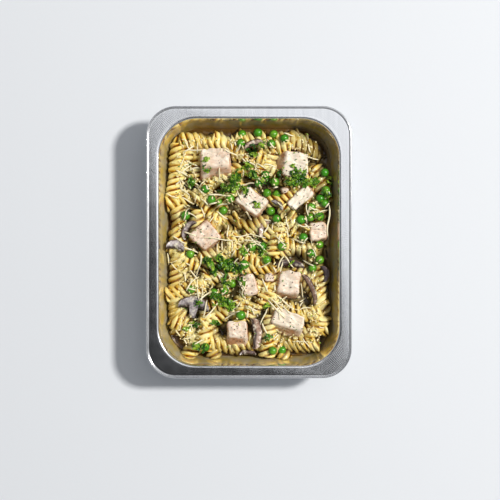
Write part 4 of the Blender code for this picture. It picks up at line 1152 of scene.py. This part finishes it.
class FoodSettings(bpy.types.PropertyGroup):
    """Colours and counts of the food"""
    waist: length_value("Fusilli waist", "Radius at the bottom of a fusillo's valleys", 0.0043)
    pasta_deep: colour_value("Pasta tint", "Deeper colour of some pasta", "#DDAE30")
    cream: colour_value("Cream", "Colour of the cream sauce", "#F9EDA8")
    chicken_light: colour_value("Chicken", "Colour of most of the meat", "#EBD3BB")
    chicken_deep: colour_value("Browned chicken", "Colour of its roasted patches", "#DFB492")
    gill: colour_value("Gills", "Colour of the mushrooms' gills", "#3A2A22")
    cap_skin: colour_value("Cap skin", "Colour of the mushrooms' skin", "#5E463A")
    pea_light: colour_value("Pea", "Lighter green of the peas", "#4EAA16")
    pea_deep: colour_value("Deep pea", "Deeper green of the peas", "#226C0A")
    cheese: colour_value("Cheese", "Colour of the grated cheese", "#FBF4DA")
    parsley_light: colour_value("Parsley", "Lighter green of the parsley", "#A8C83A")
    parsley_deep: colour_value("Deep parsley", "Deeper green of the parsley", "#1A4400")
    loose_strands: whole_value("Loose strands", "Cheese strands beside those placed by hand", 95)
    crumbs: whole_value("Cheese crumbs", "Short bits of cheese", 900)
    stray_bits: whole_value("Stray parsley", "Parsley bits strewn over everything", 240)
    pepper_grains: whole_value("Pepper", "Grains of pepper", 190)
    buried_across: whole_value("Buried, across", "Columns of fusilli lying under those that show", 5)
    buried_along: whole_value("Buried, along", "Lines of fusilli lying under those that show", 8)


class StageSettings(bpy.types.PropertyGroup):
    """Floor and lights of the studio"""
    floor_colour: colour_value("Floor", "Colour of the paper under the tray", "#E1E5EA")
    floor_shade: colour_value("Floor fibre", "Colour of the paper's fibres", "#DFE3E8")
    key_power: power_value("Key light", "Power of the lamp that casts the shadow", 126.0)
    panel_power: power_value("Overhead panel", "Power of the wide panel above", 9.6)
    horizon_strength: share_value("Low fill", "Strength of the even light from all round", 0.34)
    zenith_strength: share_value("High fill", "Strength of the even light from straight above", 0.025)


# Operators

class MEAL_OT_tray(bpy.types.Operator):
    """Makes the pressed foil tray with its ribbed flange and rolled edge"""
    bl_idname = "meal.tray"
    bl_label = "Foil tray"

    def execute(self, context):
        settings = context.scene.meal_tray
        grid, marks = tray_surface(settings)
        make_piece("pressed_tray", grid, aluminium_foil(settings), ["foil_tray"], marks)
        return {"FINISHED"}


class MEAL_OT_sauce(bpy.types.Operator):
    """Makes the body of sauce that the food lies in"""
    bl_idname = "meal.sauce"
    bl_label = "Cream sauce"

    def execute(self, context):
        grid, marks = sauce_surface()
        make_piece("sauce", grid, cream_sauce(context.scene.meal_food), ["pasta_heap"], marks)
        return {"FINISHED"}


class MEAL_OT_fusilli(bpy.types.Operator):
    """Makes the fusilli that show and those that lie under them"""
    bl_idname = "meal.fusilli"
    bl_label = "Fusilli"

    def execute(self, context):
        settings = context.scene.meal_food
        material = cooked_pasta(settings)
        _, rows = settle_pasta()
        draw = np.random.default_rng(31)
        columns, lines = settings.buried_across, settings.buried_along
        x, y = np.meshgrid(*(np.linspace(-half, half, some)
                             for half, some in zip(BURIED_HALF, (columns, lines))))
        edge_x, edge_y, edge_turn = wall_row()
        x = np.concatenate([x.ravel() + draw.uniform(-BURIED_SHIFT, BURIED_SHIFT, x.size), edge_x])
        y = np.concatenate([y.ravel() + draw.uniform(-BURIED_SHIFT, BURIED_SHIFT, y.size), edge_y])
        count = len(x)
        turn = np.concatenate([draw.uniform(0, 180, count - len(edge_turn)), edge_turn])
        level = core_level(x, y) + draw.uniform(-2.6, 0.4, count)
        slope = draw.uniform(-0.12, 0.12, count)
        length = draw.uniform(28, 38, count)
        start = draw.uniform(0, 2 * math.pi, count)
        under = np.stack([x, y, level, turn, slope, length, np.zeros(count), start], -1)
        for name, some, size in (("fusilli", rows, FUSILLI_GRID), ("fusilli_below", under, BELOW_GRID)):
            grid, marks = fusilli_surfaces(some, settings.waist / MM, *size, len(some))
            make_piece(name, grid, material, ["pasta_heap"], marks)
        return {"FINISHED"}


class MEAL_OT_chicken(bpy.types.Operator):
    """Makes the blocks of roast chicken"""
    bl_idname = "meal.chicken"
    bl_label = "Roast chicken"

    def execute(self, context):
        material = roast_chicken(context.scene.meal_food)
        for number, (entry, pale) in enumerate(zip(CHICKEN, CHICKEN_TONES), start=1):
            x, y, heading, width, depth, height, top, lean_x, lean_y = entry
            grid, side = block_surface(width, depth, height, lean_x, lean_y, number)
            grid = keep_inside(place(grid, x, y, top - height / 2, heading), WALL_GAP)
            make_piece(f"chicken_meat_{number:02d}", grid, material, [f"chicken_{number:02d}"],
                       {"side": side, "pale": pale})
        return {"FINISHED"}


class MEAL_OT_mushrooms(bpy.types.Operator):
    """Makes the slices of mushroom"""
    bl_idname = "meal.mushrooms"
    bl_label = "Mushroom slices"

    def execute(self, context):
        material = cooked_mushroom(context.scene.meal_food)
        for number, (entry, (tone, warm)) in enumerate(zip(MUSHROOMS, MUSHROOM_TONES), start=1):
            x, y, heading, width, depth, bend, roll, stem = entry
            node = f"mushroom_{number:02d}"
            grid, marks = slice_surface(width, depth, bend, stem, number)
            grid = place(grid, x, y, 0.0, heading, 0.0, roll)
            middle, _ = centred(node)
            grid[..., 2] += middle[2] - (grid[..., 2].max() + grid[..., 2].min()) / 2
            make_piece(f"mushroom_slice_{number:02d}", keep_inside(grid, WALL_GAP), material,
                       [node], {**marks, "tone": tone, "warm": warm})
        return {"FINISHED"}


class MEAL_OT_peas(bpy.types.Operator):
    """Makes the loose peas and those held in the pasta"""
    bl_idname = "meal.peas"
    bl_label = "Peas"

    def execute(self, context):
        material = garden_pea(context.scene.meal_food)
        for number in range(1, PEA_COUNT + 1):
            node = f"pea_{number:02d}"
            middle, radius = centred(node)
            grid = pea_surfaces(middle[None], np.array([radius]), number)
            make_piece(f"green_pea_{number:02d}", grid, material, [node],
                       {"tint": number * GOLDEN % 1})
        field, _ = settle_pasta()
        held = []
        for x, y, radius in PEAS_IN_PASTA:
            z = min(settle_ball(field, x, y, radius) - PEA_SINK, PEA_TOP - radius)
            held.append((x, y, z, radius))
        held = np.array(held)
        grid = pea_surfaces(held[:, :3], held[:, 3], 99)
        make_piece("peas_in_pasta", grid, material, ["pasta_heap"],
                   {"tint": each_shape(np.arange(len(held)) * GOLDEN % 1)})
        return {"FINISHED"}


class MEAL_OT_cheese(bpy.types.Operator):
    """Strews the grated cheese over the food"""
    bl_idname = "meal.cheese"
    bl_label = "Grated cheese"

    def execute(self, context):
        settings = context.scene.meal_food
        field = top_of(food_names(), HEIGHT_CELL)
        draw = np.random.default_rng(12)
        placed = np.array(STRANDS, float)
        x0, y0 = from_photo(placed[:, 0], placed[:, 1])
        x1, y1 = from_photo(placed[:, 2], placed[:, 3])
        ends = [np.stack([x0, y0, x1, y1], -1)]
        sorts = ((settings.loose_strands, STRAND_LENGTH, 0.4), (settings.crumbs, CRUMB_LENGTH, 1.0))
        for count, sizes, patchy in sorts:
            x, y = strewn(draw, CHEESE_HALF, 3 * count)
            likely = noise(with_height(np.stack([x, y], -1), 0.0), 15.0, 77) - 2 * on_topping(x, y)
            likely = patchy * likely + draw.normal(0, 0.2, 3 * count)
            dense = np.argsort(likely)[-count:]
            x, y = x[dense], y[dense]
            turn, size = draw.uniform(0, 2 * math.pi, count), draw.uniform(*sizes, count)
            ends.append(np.stack([x, y, x + size * np.cos(turn), y + size * np.sin(turn)], -1))
        ends = np.concatenate(ends)
        count = len(ends)
        share = np.linspace(0, 1, STRAND_GRID[0])[None, :, None]
        flat = ends[:, None, :2] * (1 - share) + ends[:, None, 2:] * share
        run = ends[:, 2:] - ends[:, :2]
        across = np.stack([-run[:, 1], run[:, 0]], -1)[:, None]
        bow = draw.normal(0, 0.05, (count, 1, 1)) * np.sin(math.pi * share)
        bow = bow + draw.normal(0, 0.02, (count, 1, 1)) * np.sin(2 * math.pi * share)
        flat = keep_inside(with_height(flat + across * bow, 30.0), 1.2)[..., :2]
        width = draw.uniform(*STRAND_WIDTH, count)
        paths = drape(field, HEIGHT_CELL, flat, 0.35)
        grid = keep_inside(strand_surfaces(paths, width, STRAND_THICKNESS), 0.3)
        fine = each_shape(np.arange(count) >= count - settings.crumbs)
        make_piece("cheese_strands", grid, grated_cheese(settings), ["pasta_heap"], {"fine": fine})
        return {"FINISHED"}


class MEAL_OT_parsley(bpy.types.Operator):
    """Strews the chopped parsley in its clusters and between them"""
    bl_idname = "meal.parsley"
    bl_label = "Chopped parsley"

    def execute(self, context):
        settings = context.scene.meal_food
        field = top_of(food_names(), HEIGHT_CELL)
        draw = np.random.default_rng(5)
        bits = [row[3] if row[3] < CLUSTER_BITS else round(CLUSTER_FILL * row[3]) for row in PARSLEY]
        spots = np.repeat(np.array(PARSLEY, float), bits, axis=0)
        x, y = from_photo(spots[:, 0] + draw.normal(0, 0.5, len(spots)) * spots[:, 2],
                          spots[:, 1] + draw.normal(0, 0.5, len(spots)) * spots[:, 2])
        sizes = draw.uniform(*LEAF_SIZE, len(spots))
        stray_x, stray_y = strewn(draw, STREWN_HALF, settings.stray_bits)
        x, y = np.concatenate([x, stray_x]), np.concatenate([y, stray_y])
        sizes = np.concatenate([sizes, draw.uniform(*STRAY_SIZE, len(stray_x))])
        grid = flake_surfaces(field, HEIGHT_CELL, np.stack([x, y], -1), sizes, 6)
        make_piece("parsley_bits", keep_inside(grid, WALL_GAP), chopped_parsley(settings),
                   ["pasta_heap"], {"tint": each_shape(draw.uniform(0, 1, len(sizes)))})
        return {"FINISHED"}


class MEAL_OT_pepper(bpy.types.Operator):
    """Grinds pepper over the chicken and a little over the rest"""
    bl_idname = "meal.pepper"
    bl_label = "Ground pepper"

    def execute(self, context):
        count = context.scene.meal_food.pepper_grains
        field = top_of(food_names(), HEIGHT_CELL)
        draw = np.random.default_rng(8)
        blocks = np.array(CHICKEN)[draw.integers(0, len(CHICKEN), count)]
        reach = draw.uniform(-0.46, 0.46, (count, 2)) * blocks[:, 3:5]
        turn = np.radians(blocks[:, 2])
        x = blocks[:, 0] + reach[:, 0] * np.cos(turn) - reach[:, 1] * np.sin(turn)
        y = blocks[:, 1] + reach[:, 0] * np.sin(turn) + reach[:, 1] * np.cos(turn)
        stray = draw.uniform(0, 1, count) < 0.35
        stray_x, stray_y = strewn(draw, STREWN_HALF, count)
        x, y = np.where(stray, stray_x, x), np.where(stray, stray_y, y)
        size = draw.uniform(*PEPPER_RADIUS, (count, 1, 1, 1))
        grid = ball_rings(*PEPPER_GRID) * size * draw.uniform(0.7, 1.3, (count, *PEPPER_GRID, 1))
        z = level_at(field, HEIGHT_CELL, x, y) + 0.05
        grid = keep_inside(place(grid, x, y, z, draw.uniform(0, 360, count)), WALL_GAP)
        make_piece("pepper_grains", grid, ground_pepper(), ["pasta_heap"], {})
        return {"FINISHED"}


class MEAL_OT_stage(bpy.types.Operator):
    """Makes the floor, the lights and the camera"""
    bl_idname = "meal.stage"
    bl_label = "Studio"

    def execute(self, context):
        scene = context.scene
        settings = scene.meal_stage
        mesh = bpy.data.meshes.new("floor")
        corners = [(x * FLOOR_HALF, y * FLOOR_HALF, 0) for x, y in ((-1, -1), (1, -1), (1, 1), (-1, 1))]
        mesh.from_pydata(corners, [], [(0, 1, 2, 3)])
        mesh.materials.append(matt_paper(settings))
        floor = bpy.data.objects.new("floor", mesh)
        scene.collection.objects.link(floor)
        target = np.array([AIM_X * MM, AIM_Y * MM, AIM_LEVEL])
        lamps = (
            ("key", KEY_DIRECTION, KEY_DISTANCE, KEY_SIZE, settings.key_power, "DISK", KEY_COLOUR),
            ("panel", (0, 0, 1), PANEL_HEIGHT, PANEL_SIZE, settings.panel_power, "SQUARE", PANEL_COLOUR),
        )
        for name, direction, distance, size, power, shape, colour in lamps:
            data = bpy.data.lights.new(name, "AREA")
            data.shape, data.size, data.energy, data.color = shape, size, power, colour
            lamp = bpy.data.objects.new(name, data)
            away = np.array(direction) / np.linalg.norm(direction)
            lamp.location = target + away * distance
            lamp.rotation_euler = (math.acos(away[2]), 0, math.atan2(away[1], away[0]) + math.pi / 2)
            if name == "panel":
                lamp.location.x += PANEL_SHIFT
                lamp.location.y += PANEL_SHIFT
                lamp.rotation_euler = (0, 0, math.pi / 4)
            scene.collection.objects.link(lamp)
        world = bpy.data.worlds.new("studio")
        world.use_nodes = True
        back = world.node_tree.nodes["Background"]
        back.inputs["Color"].default_value = SKY_COLOUR
        tree = world.node_tree
        ahead = add_node(tree, "ShaderNodeTexCoord").outputs["Generated"]
        up = add_node(tree, "ShaderNodeSeparateXYZ", None, {0: ahead}).outputs["Z"]
        fade = between(tree, up, FADE_START, FADE_END, settings.horizon_strength, settings.zenith_strength)
        tree.links.new(fade, back.inputs["Strength"])
        scene.world = world
        data = bpy.data.cameras.new("camera")
        data.angle = 2 * math.atan(RIM_VIEW / 2 / (CAMERA_HEIGHT - TRAY_DEPTH))
        camera = bpy.data.objects.new("camera", data)
        camera.location = (AIM_X * MM, AIM_Y * MM, CAMERA_HEIGHT * MM)
        scene.collection.objects.link(camera)
        scene.camera = camera
        scene.view_settings.view_transform = "Standard"
        return {"FINISHED"}


OPERATORS = (MEAL_OT_tray, MEAL_OT_sauce, MEAL_OT_fusilli, MEAL_OT_chicken, MEAL_OT_mushrooms,
             MEAL_OT_peas, MEAL_OT_cheese, MEAL_OT_parsley, MEAL_OT_pepper, MEAL_OT_stage)


class MEAL_PT_panel(bpy.types.Panel):
    """Lists the pieces of the meal and their settings"""
    bl_idname = "MEAL_PT_panel"
    bl_label = "Foil tray meal"
    bl_space_type = "VIEW_3D"
    bl_region_type = "UI"
    bl_category = "Meal"

    def draw(self, context):
        for operator in OPERATORS:
            self.layout.operator(operator.bl_idname)
        for name, group in SETTINGS.items():
            box = self.layout.box()
            for key in group.__annotations__:
                box.prop(getattr(context.scene, name), key)


SETTINGS = {"meal_tray": TraySettings, "meal_food": FoodSettings, "meal_stage": StageSettings}


def register():
    """Registers the classes and gives the scene its settings."""
    for item in (*SETTINGS.values(), *OPERATORS, MEAL_PT_panel):
        bpy.utils.register_class(item)
    for name, group in SETTINGS.items():
        setattr(bpy.types.Scene, name, bpy.props.PointerProperty(type=group))


def unregister():
    """Takes the settings and the classes away again."""
    for name in SETTINGS:
        delattr(bpy.types.Scene, name)
    for item in (MEAL_PT_panel, *reversed(OPERATORS), *SETTINGS.values()):
        bpy.utils.unregister_class(item)


def main():
    """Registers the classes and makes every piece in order."""
    register()
    for operator in OPERATORS:
        group, name = operator.bl_idname.split(".")
        getattr(getattr(bpy.ops, group), name)()


if __name__ == "__main__":
    main()
